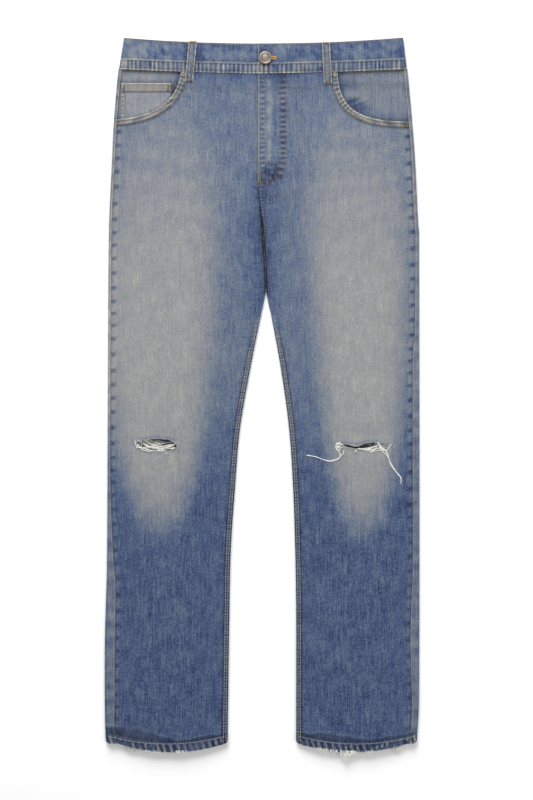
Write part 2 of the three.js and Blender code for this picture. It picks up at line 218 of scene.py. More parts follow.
OUTLINE = {
    RIGHT: smooth_curve([
        (-520, 234), (-480, 235.5), (-367, 235.5), (-255, 232.5), (15, 231), (247, 229.5),
        (352, 225), (412, 222), (480, 215.3), (535.5, 207),
    ]),
    LEFT: smooth_curve([
        (-514, 232.5), (-457, 235.5), (240, 235.5), (262, 234), (352, 229.5), (412, 225),
        (480, 218), (535.5, 211.5),
    ]),
}
FLAP = {
    RIGHT: smooth_curve([(-520, 14), (-300, 14), (-240, 9), (-120, 4), (390, 4), (480, 5)]),
    LEFT: smooth_curve([
        (-520, 10), (-475, 10), (-360, 13), (-260, 10), (50, 9.5), (110, 6), (480, 5),
    ]),
}
INSEAM = {
    RIGHT: smooth_curve([
        (-500, -51), (-322, -48.5), (-232, -46.5), (-142, -40.5), (-52, -33), (37, -18),
        (112, -3), (153, 5.5), (166, 6), (200, 4.5), (232, 2), (CROTCH_Y, 0.5),
    ]),
    LEFT: smooth_curve([
        (-500, 51), (-322, 51), (-232, 49.5), (-142, 46.5), (-52, 40.5), (37, 28.5),
        (112, 15), (153, 6.5), (166, 6), (200, 4.5), (232, 2), (CROTCH_Y, 0.5),
    ]),
}
SCOOP = {
    RIGHT: [(-121.5, 486), (-125, 442), (-160, 416), (-219, 413)],
    LEFT: [(113.3, 486), (114, 432), (140, 409), (222, 409.8)],
}
RIVET = {RIGHT: (-118, 480.4), LEFT: (109.2, 479.8)}
LOOP_TOP = {RIGHT: (-103.5, 530), LEFT: (95.6, 528.5)}
LOOP_FOOT = {RIGHT: (-109.5, 470), LEFT: (99, 467)}

centre_front = smooth_curve([(CROTCH_Y, 0.5), (285, -3), (FLY_END_Y, FLY_EDGE_X)])
leg_crown = smooth_curve([(0, 3), (0.1, 3.9), (0.3, 4.6), (0.65, 4.6), (0.9, 3.4), (1, 1.5)])


def waist_seam(x):
    """Height of the waistband's lower edge."""
    return WAIST_Y + WAIST_BOW * (np.abs(x) / HALF_WAIST) ** 1.4


def band_top(x):
    return BAND_TOP_Y + BAND_TOP_BOW * (np.abs(x) / HALF_WAIST) ** 2


def lift(y):
    """How far the cloth is held up by the back loops, which lie under it at the waist."""
    return LOOP_LIFT * smoothstep(LIFT_LOW_Y, LIFT_HIGH_Y, y)


def bow(x, y, across):
    """A row's height bent to follow the waist's curve and the hem's."""
    waist = (waist_seam(x) - WAIST_Y) * smoothstep(400, WAIST_Y, y)
    hem = HEM_BOW * 4 * across * (1 - across) * (1 - smoothstep(HEM_Y, -400, y))
    return y + waist - hem


def front_underside(across, y):
    return mix(leg_crown(across), FRONT_HEIGHT, smoothstep(LEG_TOP_Y, HIP_Y, y)) + lift(y)


def fly_lift(x, y):
    return FLY_LIFT * (1 - smoothstep(BAND_EXTENSION, OVERLAP_END_X, x)) * smoothstep(285, 312, y)


def mouth(side, inward=0.0, down=0.0):
    """A front pocket's mouth, closed out past the side of the hip."""
    edge = bezier(SCOOP[side]) - np.array([side * inward, down])
    far = side * 300
    return edge, np.vstack([[edge[0, 0], 600], edge, [far, edge[-1, 1]], [far, 600]])


def hem_edge(y):
    """1 on the turned-up hem, 0 above it."""
    return 1 - smoothstep(HEM_Y + HEM_DEPTH - 0.8, HEM_Y + HEM_DEPTH + 1.0, y)


def hem_corner(y):
    """How far the hem's corners are rounded in at each height."""
    below = np.clip((HEM_Y + CORNER - np.asarray(y, float)) / CORNER, 0, 1)
    return CORNER * (1 - np.sqrt(1 - (0.97 * below) ** 2))


def hem_rise(y):
    """How far the back's thicker hem lifts what lies on it."""
    return HEM_EXTRA * (1 - smoothstep(HEM_Y + 9, HEM_Y + 26, y))


# ---------------------------------------------------------------- wear and painted light: fading, dirt, painted shade and highlight

class WearAndShade:
    """The colour of a piece's points.

    fade is 0 on indigo cloth and 1 on worn grey cloth, and more on bare white weft; in places it
    also carries painted shade and highlight. shade is mostly painted shade, and darkens or
    lightens, and tint is the brown of old thread and dirt.
    """

    def __init__(self, fade):
        self.fade = np.array(fade, float)
        self.shade = np.ones_like(self.fade)
        self.tint = np.zeros_like(self.fade)

    def darken(self, amount):
        self.shade *= 1 - amount

    def dark_lines(self, distance, lines):
        """Painted shade in lines beside an edge, each as its distance, its width and how dark it is."""
        for at, width, depth in lines:
            self.darken(depth * bell(distance - at, width))

    def colours(self):
        return np.stack([self.fade / 2, self.shade / 2, self.tint], axis=-1)


def leg_fade(x, y):
    """The long worn patch down each leg and the paler ground above the knees, with painted shade down the
    centre seam about the crotch.
    """
    ground = mix(0.02, 0.33, smoothstep(-190, 70, y))
    fade = ground - 0.05 * (1 - smoothstep(-520, -380, y))
    centre_line = {
        RIGHT: smooth_curve([(-150, -154), (60, -158), (300, -150), (430, -150)]),
        LEFT: smooth_curve([(-150, 152), (60, 148), (200, 146), (400, 140)]),
    }
    half_width = {
        RIGHT: smooth_curve([(-150, 64), (60, 90), (400, 96)]),
        LEFT: smooth_curve([(-150, 56), (60, 72), (400, 92)]),
    }
    strength = smooth_curve([(-200, 0.93), (60, 0.95), (180, 0.92), (260, 0.82), (340, 0.66), (430, 0.52)])
    for side in SIDES:
        dx = np.abs(x - centre_line[side](y)) / half_width[side](y)
        dy = np.where(y > 60, (y - 60) / 430, (60 - y) / 276)
        patch = 1 - smoothstep(0.04, 1.35, dx**2.2 + np.abs(dy) ** 4)
        fade = fade + (strength(y) - ground) * patch * (np.sign(x - 4) == side)
    # painted shade along the centre seam, where the legs meet
    centre_painted_shade = bell(x, 24) * smoothstep(60, 150, y) * (1 - smoothstep(300, 360, y))
    return fade - 0.3 * centre_painted_shade


# Whiskers: worn ridges fanning from the crotch and hips, as (x, y, x, y, half-width, strength).
# The last two are painted highlights of ridges beside the pocket mouths.
WHISKERS = [
    (-205, 365, -70, 352, 9, 0.10), (-200, 330, -75, 306, 10, 0.10), (-190, 296, -60, 268, 9, 0.08),
    (-180, 398, -95, 388, 8, 0.09), (60, 352, 205, 368, 9, 0.10), (70, 312, 208, 332, 10, 0.11),
    (60, 274, 190, 300, 9, 0.08), (90, 388, 190, 396, 8, 0.09), (-60, 330, -20, 300, 7, 0.07),
    (20, 296, 62, 322, 7, 0.08), (-121, 476, -103, 446, 4, 0.26), (103, 466, 113, 444, 4, 0.26),
]

# Creases: soft troughs, as (x, y, x, y, half-width, depth); a negative depth is a ridge.
CREASES = [
    (58, -330, 118, -388, 9, 0.7), (66, -300, 140, -352, 10, -0.5), (60, -392, 128, -462, 9, 0.8),
    (72, -352, 150, -420, 9, -0.5), (58, -452, 120, -505, 8, 0.6), (150, -470, 200, -430, 9, 0.4),
    (-218, -498, -160, -508, 5, 0.9), (-160, -508, -104, -499, 5, 0.9), (-190, -484, -110, -488, 7, -0.5),
    (-205, -360, -150, -392, 10, 0.4), (-90, -420, -60, -370, 8, 0.4), (-120, -300, -60, -270, 9, 0.35),
    (-205, -40, -140, -56, 9, 0.4), (-190, -100, -120, -96, 9, -0.4), (100, -52, 190, -58, 8, 0.4),
    (110, -98, 196, -92, 9, -0.4), (-40, 262, -12, 226, 7, 0.6), (8, 226, 40, 258, 7, 0.6),
    (-58, 240, -20, 190, 8, 0.4), (20, 186, 56, 236, 8, 0.4), (-110, 420, -70, 380, 8, 0.5),
    (70, 400, 100, 440, 8, 0.4), (-60, 150, -32, 60, 8, 0.35), (30, 60, 62, 150, 8, 0.35),
    (190, 250, 226, 200, 9, 0.4), (-224, 150, -190, 90, 9, 0.35),
]


def line_mask(x, y, crease):
    ax, ay, bx, by, half_width, _ = crease
    distance, along = polyline_distance(x, y, [(ax, ay), (bx, by)])
    length = math.hypot(bx - ax, by - ay)
    fading_ends = np.sin(math.pi * np.clip(along / length, 0.02, 0.98)) ** 0.7
    return bell(distance, half_width) * fading_ends


def creased(x, y):
    """Height of the listed creases and of the cloth's slight unevenness."""
    z = 0.22 * lumps(x, y, 46, 3) + 0.1 * lumps(x, y, 17, 5)
    for crease in CREASES:
        z = z - crease[5] * line_mask(x, y, crease)
    return z


def base_wear_and_shade(x, y):
    """Fading shared by every outer piece, so that it runs on across the seams, with painted shade in the
    creases' troughs.
    """
    fade = leg_fade(x, y)
    for whisker in WHISKERS:
        fade = fade + whisker[5] * line_mask(x, y, whisker)
    # painted shade in each crease's trough, and a ridge made paler
    for crease in CREASES:
        fade = fade - 0.12 * crease[5] * line_mask(x, y, crease)
    return WearAndShade(fade + 0.035 * lumps(x, y, 30, 11))


def seam_puckers(wear_and_shade, z, distance, along, width, pitch, seed, rise, contrast=1.0):
    """A felled or pressed seam beside an edge: a raised strip that puckers at its stitches, paler on its
    crests, with painted shade in its hollows and a painted shadow line beside it.
    """
    strip = 1 - smoothstep(width - 0.8, width + 1.6, distance)
    wave = waver(along, pitch, seed) * (0.7 + 0.3 * waver(along, 4.7 * pitch, seed + 1))
    # paler on the puckers' crests, with painted shade in their hollows
    wear_and_shade.fade += strip * (0.1 + contrast * (0.34 * crest(wave) - 0.2 * hollow(wave)))
    wear_and_shade.darken(0.3 * contrast * strip * hollow(wave))
    # a painted shadow line along the strip's edge, where the cloth dips
    edge = bell(distance - width - 0.8, 1.2)
    wear_and_shade.darken(0.34 * edge * (0.6 + 0.4 * hollow(wave)))
    return z + strip * (rise + 0.24 * contrast * wave) - 0.15 * edge


def worn_edge(wear_and_shade, distance, strength, reach):
    """Indigo rubbed off along a folded edge."""
    wear_and_shade.fade += strength * bell(distance, reach)


# ---------------------------------------------------------------- meshes

def make_mesh(name, vertices, faces, colours=None, sharp_degrees=52):
    """A mesh object from points in millimetres; faces is an array of quads or of triangles."""
    faces = np.asarray(faces, np.int32)
    corners = faces.shape[1]
    mesh = bpy.data.meshes.new(name)
    mesh.vertices.add(len(vertices))
    mesh.vertices.foreach_set("co", (np.asarray(vertices, np.float32) * MM).ravel())
    mesh.loops.add(faces.size)
    mesh.loops.foreach_set("vertex_index", faces.ravel())
    mesh.polygons.add(len(faces))
    mesh.polygons.foreach_set("loop_start", np.arange(0, faces.size, corners, dtype=np.int32))
    mesh.update(calc_edges=True)
    if colours is not None:
        layer = mesh.color_attributes.new("wear_and_shade", "FLOAT_COLOR", "POINT")
        rgba = np.ones((len(vertices), 4), np.float32)
        rgba[:, :3] = np.clip(colours, 0, 1)
        layer.data.foreach_set("color", rgba.ravel())
    mesh.polygons.foreach_set("use_smooth", np.ones(len(faces), bool))
    if sharp_degrees:
        mesh.set_sharp_from_angle(angle=math.radians(sharp_degrees))
    mesh.validate()
    ob = bpy.data.objects.new(name, mesh)
    bpy.context.collection.objects.link(ob)
    return ob


def grid(rows, across):
    """The row value and the value across of every point of a grid."""
    return np.meshgrid(rows, across, indexing="ij")


def grid_normals(points):
    along_row = np.gradient(points, axis=1)
    along_column = np.gradient(points, axis=0)
    normal = np.cross(along_row, along_column)
    return normal / np.maximum(np.linalg.norm(normal, axis=2, keepdims=True), 1e-9)


def shell(name, outer, wear_and_shade, thickness, outward, kept=None, inside_shade=0.8):
    """A closed shell: a grid of outer points (x, y, z), and the same moved in by the thickness.

    outward is 1 where the row direction crossed with the column direction points out of the
    cloth, otherwise -1. kept says which cells of the grid are cloth. inside_shade is painted
    shade on the cloth's inner face, which no light reaches.
    """
    points = np.stack(outer, axis=-1)
    rows, columns = points.shape[:2]
    if kept is None:
        kept = np.ones((rows - 1, columns - 1), bool)
    depth = np.broadcast_to(thickness, (rows, columns))[..., None]
    inner = points - outward * grid_normals(points) * depth
    vertices = np.vstack([points.reshape(-1, 3), inner.reshape(-1, 3)])
    index = np.arange(rows * columns).reshape(rows, columns)
    a, b, c, d = index[:-1, :-1], index[:-1, 1:], index[1:, 1:], index[1:, :-1]
    under = rows * columns
    top = np.stack([a, b, c, d], axis=-1)[kept]
    quads = [top, top[:, ::-1] + under]
    padded = np.pad(kept, 1)
    for (row_step, column_step), (p, q) in {
        (-1, 0): (a, b), (0, 1): (b, c), (1, 0): (c, d), (0, -1): (d, a),
    }.items():
        beside = padded[1 + row_step:rows + row_step, 1 + column_step:columns + column_step]
        rim = kept & ~beside
        p, q = p[rim], q[rim]
        quads.append(np.stack([q, p, p + under, q + under], axis=-1))
    faces = np.vstack(quads)
    if outward < 0:
        faces = faces[:, ::-1]
    used, faces = np.unique(faces, return_inverse=True)
    faces = faces.reshape(-1, 4)
    outer_colours = wear_and_shade.colours()
    inner_colours = outer_colours.copy()
    inner_colours[..., 1] *= inside_shade
    colours = np.vstack([outer_colours.reshape(-1, 3), inner_colours.reshape(-1, 3)])
    return make_mesh(name, vertices[used], faces, colours[used])


def cells_inside(x, y, outline):
    """Whether the middle of each of a grid's cells is inside a closed outline."""
    middle_x, middle_y = ((a[:-1, :-1] + a[1:, :-1] + a[:-1, 1:] + a[1:, 1:]) / 4 for a in (x, y))
    return inside(middle_x, middle_y, outline)


def snap_to(x, y, kept, outlines):
    """Moves the grid's points that border removed cells onto the outlines that removed them."""
    rows, columns = x.shape
    touching, around = np.zeros((2, rows, columns), int)
    for r in (0, 1):
        for c in (0, 1):
            touching[r:rows - 1 + r, c:columns - 1 + c] += kept
            around[r:rows - 1 + r, c:columns - 1 + c] += 1
    at_r, at_c = np.nonzero((touching > 0) & (touching < around))
    dense = np.vstack([densify(line, 0.25) for line in outlines])
    for r, c in zip(at_r, at_c):
        nearest = dense[np.argmin((dense[:, 0] - x[r, c]) ** 2 + (dense[:, 1] - y[r, c]) ** 2)]
        x[r, c], y[r, c] = nearest


def lengths_along(line):
    return np.r_[0, np.cumsum(np.hypot(*np.diff(line, axis=0).T))]


def at_lengths(line, lengths, at):
    return np.stack([np.interp(at, lengths, column) for column in line.T], axis=1)


def densify(line, step):
    line = np.asarray(line, float)
    lengths = lengths_along(line)
    return at_lengths(line, lengths, np.linspace(0, lengths[-1], max(2, int(lengths[-1] / step))))


# ---------------------------------------------------------------- the cut pieces

def rip_outline(side):
    """The hole torn through a knee: a lens with ragged lips on one, a thin slit on the other."""
    if side == RIGHT:
        upper = [(-189, -72), (-180, -68.5), (-170, -66.5), (-156, -66), (-143, -66.5), (-134, -69)]
        lower = [(-127, -76), (-133, -81), (-146, -84.5), (-158, -84), (-170, -81.5), (-181, -78.5)]
    else:
        upper = [
            (122, -74.2), (130, -74.6), (136.5, -77), (144, -77.2), (150, -74.7), (155.5, -72.2),
            (162.5, -71.7), (169, -71.2), (173, -72.2),
        ]
        lower = [(173.4, -75), (164, -77), (155.5, -79), (148.5, -80), (139, -80), (131, -78.4), (122.6, -76)]
    ring = np.array(upper + lower, float)
    ring = densify(np.vstack([ring, ring[:1]]), 1.5)[:-1]
    wobble = 0.5 * np.sin(np.arange(len(ring)) * 2.1) + 0.4 * np.sin(np.arange(len(ring)) * 0.83)
    ring[:, 1] += wobble * (0.9 if side == RIGHT else 0.4)
    return ring


def panel_rows():
    """Row heights of a front, closer together over the rip."""
    knee = np.arange(*KNEE_Y, 1.1)
    plain = np.linspace(HEM_Y, WAIST_Y, 560)
    plain = plain[(plain < knee[0] - 1) | (plain > knee[-1] + 1)]
    return np.sort(np.r_[plain, knee])


def front_panel(side):
    """A front, from its outseam to the inseam and the centre, with the right one under the fly."""
    across = np.r_[np.linspace(0, 0.36, 17), np.linspace(0.37, 0.93, 50), np.linspace(0.94, 1, 12)]
    nominal, u = grid(panel_rows(), across)
    seam = side * (OUTLINE[side](nominal) - hem_corner(nominal) - FLAP[side](nominal) - GAP)
    upper_edge = centre_front(nominal) + side * GAP / 2
    if side == RIGHT:
        underlap = np.clip((nominal - FLY_END_Y) / 16.5, 0, 1)
        upper_edge = mix(upper_edge, FLY_UNDERLAP_X, underlap)
    leg_edge = INSEAM[side](nominal) + side * (GAP + hem_corner(nominal))
    inner = np.where(nominal < CROTCH_Y, leg_edge, upper_edge)
    x = mix(seam, inner, u)
    y = bow(x, nominal, u)

    edge, closed = mouth(side)
    rip = rip_outline(side)
    kept = ~cells_inside(x, y, closed) & ~cells_inside(x, y, rip)
    snap_to(x, y, kept, [edge, np.vstack([rip, rip[:1]])])

    wear_and_shade = base_wear_and_shade(x, y)
    z = front_underside(u, nominal) + hem_rise(nominal) + CLOTH + creased(x, y)
    if side == LEFT:
        z += fly_lift(x, nominal)
    z = pocket_mouth_band(wear_and_shade, z, x, y, edge)
    inner_distance = np.abs(x - inner)
    z = inner_edge_details(wear_and_shade, z, y, inner_distance, side)
    if side == LEFT:
        z = fly_details(wear_and_shade, z, x, y, inner_distance)
    z = hem_details(wear_and_shade, z, x, nominal, 4 + side)
    z = rip_edges(wear_and_shade, z, x, y, rip)
    shade_under_band(wear_and_shade, x, y)
    outseam_spots(wear_and_shade, np.abs(x - seam), nominal, side)
    thickness = CLOTH + HEM_EXTRA * hem_edge(nominal)
    return shell(f"denim_front_{SIDE_NAMES[side]}", (x, y, z), wear_and_shade, thickness, -side, kept)


def pocket_mouth_band(wear_and_shade, z, x, y, edge):
    """The turned edge of a pocket mouth: twice stitched, raised and roped, with painted shade in the grooves
    beside it.
    """
    distance, along = polyline_distance(x, y, edge)
    z = seam_puckers(wear_and_shade, z, distance, along, 8.6, 6.2, 1.7, 0.55, 1.5)
    band = 1 - smoothstep(8, 10, distance)
    wear_and_shade.fade += 0.05 * band
    wear_and_shade.tint += 0.1 * band
    # painted shade in lines beside the first stitching and past the band's edge
    wear_and_shade.dark_lines(distance, [(3.0, 1.1, 0.46), (9.8, 1.5, 0.42)])
    worn_edge(wear_and_shade, distance, 0.9, 1.2)
    return z


def outseam_spots(wear_and_shade, distance, y, side):
    """Unfaded spots with painted shade where the seam's turnings puckered beneath the cloth, a painted shade
    line in the seam's gap, and its pale edge.
    """
    spots = smoothstep(0.35, 0.95, waver(y, 21, 4.1 + side))
    near = bell(distance - 3.6, 3.8) * (y < 400)
    # unfaded spots with painted shade over the puckered turnings
    wear_and_shade.fade -= 0.36 * spots * near
    wear_and_shade.darken(0.36 * spots * near)
    # a painted shade line in the seam's gap
    wear_and_shade.darken(0.3 * bell(distance - 0.6, 1.2))
    wear_and_shade.fade += 0.18 * bell(distance - 4.0, 3.0) * (1 - spots)


def inner_edge_details(wear_and_shade, z, y, distance, side):
    """The felled inseam with painted shade beside its stitching, a painted shadow in the gap between the
    thighs, and painted shade along the seam below the fly.
    """
    inseam = 1 - smoothstep(60, 128, y)
    raised = seam_puckers(wear_and_shade, z, np.where(inseam > 0.1, distance, FAR), y, 7.4, 7, 2.4 + side, 0.45, 0.6)
    z = mix(z, raised, inseam)
    # painted shade in lines beside the inseam's stitching
    wear_and_shade.dark_lines(distance, [(1.2, 1.4, 0.5 * inseam), (7.8, 1.4, 0.55 * inseam)])
    wear_and_shade.darken(0.2 * inseam * (distance < 8))
    # a painted shadow in the gap between the thighs
    thigh_gap_shadow = smoothstep(146, 156, y) * (1 - smoothstep(252, 300, y))
    wear_and_shade.darken(0.94 * thigh_gap_shadow * bell(distance, 2.3, 4))
    wear_and_shade.darken(0.3 * thigh_gap_shadow * bell(distance, 7))
    # painted shade along the centre seam below the fly
    seam_line_shadow = smoothstep(240, 270, y) * (y < FLY_END_Y)
    wear_and_shade.darken(0.45 * seam_line_shadow * bell(distance, 1.3))
    return z


def fly_details(wear_and_shade, z, x, y, distance):
    """The centre seam's puckers, the fly's roped edge, the zip's ridge and the groove of the J, with painted
    shade in the roping's and the groove's hollows and in the bunched cloth at the fly's foot.
    """
    centre = smoothstep(238, 262, y) * (y < FLY_END_Y + 8)
    raised = seam_puckers(wear_and_shade, z, np.where(centre > 0, distance, FAR), y, 4.2, 4.8, 0.6, 0.4, 1.5)
    z = mix(z, raised, centre)
    fly = y > FLY_END_Y - 4
    worn_edge(wear_and_shade, np.where(fly, distance, FAR), 0.75, 1.2)
    wear_and_shade.tint += 0.3 * fly * bell(distance, 1.6)
    roping = bell(distance - 6.5, 3.4) * smoothstep(FLY_END_Y, FLY_END_Y + 30, y)
    wave = waver(y, 7.5, 3.0)
    wear_and_shade.fade += roping * 0.3 * wave
    # painted shade in the roping's hollows
    wear_and_shade.darken(0.3 * roping * hollow(wave))
    ridge = bell(x - 10.5, 3.4) * smoothstep(340, 360, y) * (y < 474)
    wear_and_shade.fade += 0.5 * ridge * (0.7 + 0.3 * waver(y, 21, 0.4))
    z = z + 0.5 * ridge
    wear_and_shade.fade -= 0.14 * bell(x - 20, 3.0) * smoothstep(330, 350, y)
    j_distance, j_along = polyline_distance(x, y, fly_curve(31.5))
    groove = bell(j_distance, 4.4)
    wave = waver(j_along, 8.2, 1.1)
    wear_and_shade.fade += groove * 0.4 * wave
    # painted shade in the J's groove and its hollows
    wear_and_shade.darken(groove * (0.2 + 0.36 * hollow(wave)))
    foot = bell(x - 13, 17) * bell(y - 333, 15)
    bunched = 1.3 * lumps(x, y, 8, 22)
    # the bunched cloth at the fly's foot: darker overall, with painted shade in its hollows and paler crests
    wear_and_shade.fade += foot * (0.8 * crest(bunched) - 0.45)
    wear_and_shade.darken(foot * (0.28 + 0.5 * hollow(bunched)))
    inside_fly = (x < 30) & (y > 330)
    wear_and_shade.fade += np.where(inside_fly, 0.09 * lumps(x, y, 16, 21), 0)
    return z - 0.25 * groove + 0.4 * foot * bunched


# The cloth sags over each hem in a fold with a painted shadow under it: where it lies across the legs, and
# its height there.
HEM_FOLD_X = [-214, -183, -150, -124, -87, -52, 59, 75, 94, 133, 165, 191, 210]
HEM_FOLD_HEIGHT = [13, 15, 10, 4, 7, 4, 5, 8, 12, 9, 4, 6, 3]


def hem_details(wear_and_shade, z, x, nominal, seed):
    """The turned-up hem: a fold above its stitches and a rope of slanted puckers below them, with painted
    shade in the puckers' hollows, beside the stitches and under the fold, and a painted highlight along the
    fold's top.
    """
    on = hem_edge(nominal)
    slant = x + 0.3 * (nominal - HEM_Y)
    wave = waver(slant, 9.4, seed)
    strength = on * np.clip(0.9 + 0.4 * lumps(x, nominal * 0, 40, 31 + seed), 0.4, 1.25)
    wear_and_shade.fade += strength * (1.5 * crest(wave) ** 2.6 - 0.3)
    # painted shade in the puckers' hollows
    wear_and_shade.darken(np.clip(strength * (0.16 + 0.66 * hollow(wave)), 0, 0.8))
    worn_edge(wear_and_shade, nominal - HEM_Y, 0.8, 1.3)
    stitched = nominal - HEM_Y - HEM_STITCH
    # painted shade in lines just below and above the stitches
    wear_and_shade.darken(0.4 * bell(stitched + 2.0, 1.3))
    above = bell(stitched - 3.4, 2.2)
    wear_and_shade.darken(0.34 * above * (0.7 + 0.3 * waver(x, 13, seed + 2)))
    rise = stitched / (np.interp(x, HEM_FOLD_X, HEM_FOLD_HEIGHT) + 0.8 * waver(x, 21, seed + 3))
    fold = smoothstep(-0.1, 0.1, rise) * (1 - smoothstep(0.85, 1.15, rise))
    # painted shadow under the fold
    wear_and_shade.fade -= 0.3 * fold
    wear_and_shade.darken(0.46 * fold)
    # painted highlight along the fold's top
    wear_and_shade.fade += 0.2 * bell(rise - 1.25, 0.2)
    return z + on * (HEM_EXTRA + 0.32 * wave) - 0.2 * above - 0.3 * fold


def rip_edges(wear_and_shade, z, x, y, rip):
    """Lips of a rip: frayed pale and curled up slightly."""
    near = np.hypot(x - rip[:, 0].mean(), y - rip[:, 1].mean()) < 60
    distance = np.full(x.shape, FAR)
    distance[near], _ = polyline_distance(x[near], y[near], np.vstack([rip, rip[:1]]))
    ragged = 0.5 + 0.5 * lumps(x, y, 6, 91)
    wear_and_shade.fade += 0.45 * bell(distance, 1.3) * np.clip(ragged, 0, 1)
    above = y > rip[:, 1].max() - 3
    wear_and_shade.fade -= np.where(above, 0.42, 0.1) * bell(distance - 2.2, 2.6) * (distance < 30)
    return z + 0.4 * bell(distance, 3.0)


def shade_under_band(wear_and_shade, x, y):
    """Painted shade under the waistband: along the waist seam, beside the belt loops and at the top of the
    fly, darkening the cloth and keeping it less faded.
    """
    drop = waist_seam(x) - y
    wear_and_shade.darken(0.22 * bell(drop, 3.0))
    wear_and_shade.fade -= 0.24 * bell(drop, 12.0)
    for side in SIDES:
        near = bell(x - LOOP_FOOT[side][0], 11) * bell(drop, 26)
        wear_and_shade.fade -= 0.25 * near
    fly_top = bell(x - 20, 24) * bell(drop, 15)
    wear_and_shade.fade -= 0.3 * fly_top
    wear_and_shade.darken(0.24 * fly_top)


def fly_curve(offset_x):
    """The J of the fly's topstitching: down beside the fly, then round to its foot."""
    straight = [(offset_x, FLY_STITCH_TOP_Y), (offset_x, FLY_TURN_Y)]
    depth = 33 + (offset_x - 28) * 0.9
    turn = [
        (offset_x - (offset_x + 4) * (1 - math.cos(a)), FLY_TURN_Y - depth * math.sin(a))
        for a in np.linspace(0.1, math.pi / 2, 12)
    ]
    return np.array(straight + turn)


def over_pocket(x, y):
    """How far the back is pushed in where it lies over a back pocket."""
    margin, ramp = 6, 6

    def plateau(value, low, high):
        low, high = low - margin, high + margin
        return np.interp(value, [low - ramp, low, high, high + ramp], [0, 1, 1, 0])

    rise = plateau(x, POCKET_INNER_X, POCKET_OUTER_X) * plateau(y, POCKET_POINT_Y, POCKET_TOP_Y)
    return (CLOTH + GAP) * rise


# Columns of the back's grid: on the front, round the fold and across the back
FLAP_STEPS = 6
FOLD_STEPS = 11
FLAT_STEPS = 58
BACK_MIDDLE_X = 110.0


def back_section(side, y):
    """Points of the back's outer face along one row: x, height, and share across the leg."""
    bottom = lift(y)
    extra = HEM_EXTRA * hem_edge(y)
    height = front_underside(0, y) + hem_rise(y) + CLOTH + extra - bottom
    radius = height / 2
    edge = OUTLINE[side](y) - hem_corner(y)
    distance, z = [], []
    for t in np.linspace(0, 1, FLAP_STEPS, endpoint=False):
        distance.append(mix(edge - FLAP[side](y), edge - radius, t))
        z.append(bottom + height + 0 * y)
    for angle in np.linspace(math.pi / 2, 1.5 * math.pi, FOLD_STEPS):
        distance.append(edge - radius - radius * math.cos(angle))
        z.append(bottom + radius + radius * math.sin(angle))
    centre = GAP / 2 + side * 0.5 * (1 - smoothstep(CROTCH_Y, 330, y))
    inner = np.where(y < CROTCH_Y, side * INSEAM[side](y) + GAP + hem_corner(y), centre)
    for t in np.linspace(0, 1, FLAT_STEPS + 1)[1:]:
        spread = mix(edge - radius, inner, t)
        distance.append(spread)
        z.append(bottom + over_pocket(spread, y))
    distance, z = np.stack(distance, axis=-1), np.stack(z, axis=-1)
    share = np.clip((edge[:, None] - distance) / (edge - inner)[:, None], 0, 1)
    return side * distance, z, share


def yoke_line(side, distance):
    return YOKE_CENTRE_Y + (YOKE_SIDE_Y - YOKE_CENTRE_Y) * distance / OUTLINE[side](YOKE_SIDE_Y)


def back_piece(side, name, low, high, row_count):
    """A part of the back between two edges, each a function of distance from the centre."""
    # a first section at level rows gives each column's distance from the centre, and so its heights
    x, z, across = back_section(side, np.linspace(low(BACK_MIDDLE_X), high(BACK_MIDDLE_X), row_count))
    distance = np.abs(x)
    nominal = mix(low(distance), high(distance), np.linspace(0, 1, row_count)[:, None])
    columns = x.shape[1]
    for column in range(columns):
        section = back_section(side, nominal[:, column])
        for values, read in zip((x, z, across), section):
            values[:, column] = read[:, column]
    seam = OUTLINE[side](nominal) - hem_corner(nominal) - FLAP[side](nominal) - GAP
    inner = np.abs(x[:, -1:])
    y = bow(x, nominal, np.clip((seam - np.abs(x)) / (seam - inner), 0, 1))
    wear_and_shade = base_wear_and_shade(x, y)
    on_front = np.arange(columns) < FLAP_STEPS + FOLD_STEPS // 2
    fold_share = np.clip(np.abs(np.arange(columns) - FLAP_STEPS - FOLD_STEPS / 2) / 4, 0, 1)
    relief = np.zeros_like(z)
    edge_distance = np.abs(np.abs(x) - (OUTLINE[side](nominal) - FLAP[side](nominal)))
    strip = np.where(on_front[None, :], edge_distance, FAR)
    relief = seam_puckers(wear_and_shade, relief, strip, y, 12, 24, 1.3 * side + 2, 0.12, 0.35)
    low_leg = 1 - smoothstep(-160, -60, y)
    wear_and_shade.fade += on_front * (0.1 + 0.2 * low_leg) * (0.8 + 0.2 * waver(y, 31, side))
    worn_edge(wear_and_shade, strip, 0.55, 1.3)
    # a painted shade line along the outseam
    wear_and_shade.darken(0.2 * bell(strip - 1.6, 1.0))
    backs = ~on_front[None, :] & (across > 0)
    inner_distance = np.where(backs, (1 - across) * 190, FAR)
    relief = seam_puckers(wear_and_shade, relief, inner_distance, y, 9, 17, 3.3 + side, 0.0)
    relief = hem_details(wear_and_shade, relief, x, nominal, 8 + side)
    hem_step = HEM_EXTRA * hem_edge(nominal)
    relief = relief - hem_step
    if name == "yoke":
        relief = seam_puckers(wear_and_shade, relief, nominal - low(np.abs(x)), x, 9, 8, 2.2, 0.0)
    # painted shade under the seam along the piece's top edge
    wear_and_shade.darken(0.25 * bell(high(np.abs(x)) - nominal, 2.5))
    z = z + np.where(on_front[None, :], relief * fold_share, 0)
    thickness = CLOTH + hem_step
    # deep painted shade on the back's inner face, so that rips and gaps show dark
    return shell(f"denim_{name}_{SIDE_NAMES[side]}", (x, y, z), wear_and_shade, thickness, side, None, 0.26)


def back_panel(side):
    top = lambda distance: yoke_line(side, distance) - GAP / 2
    return back_piece(side, "back", lambda distance: HEM_Y + 0 * distance, top, 330)


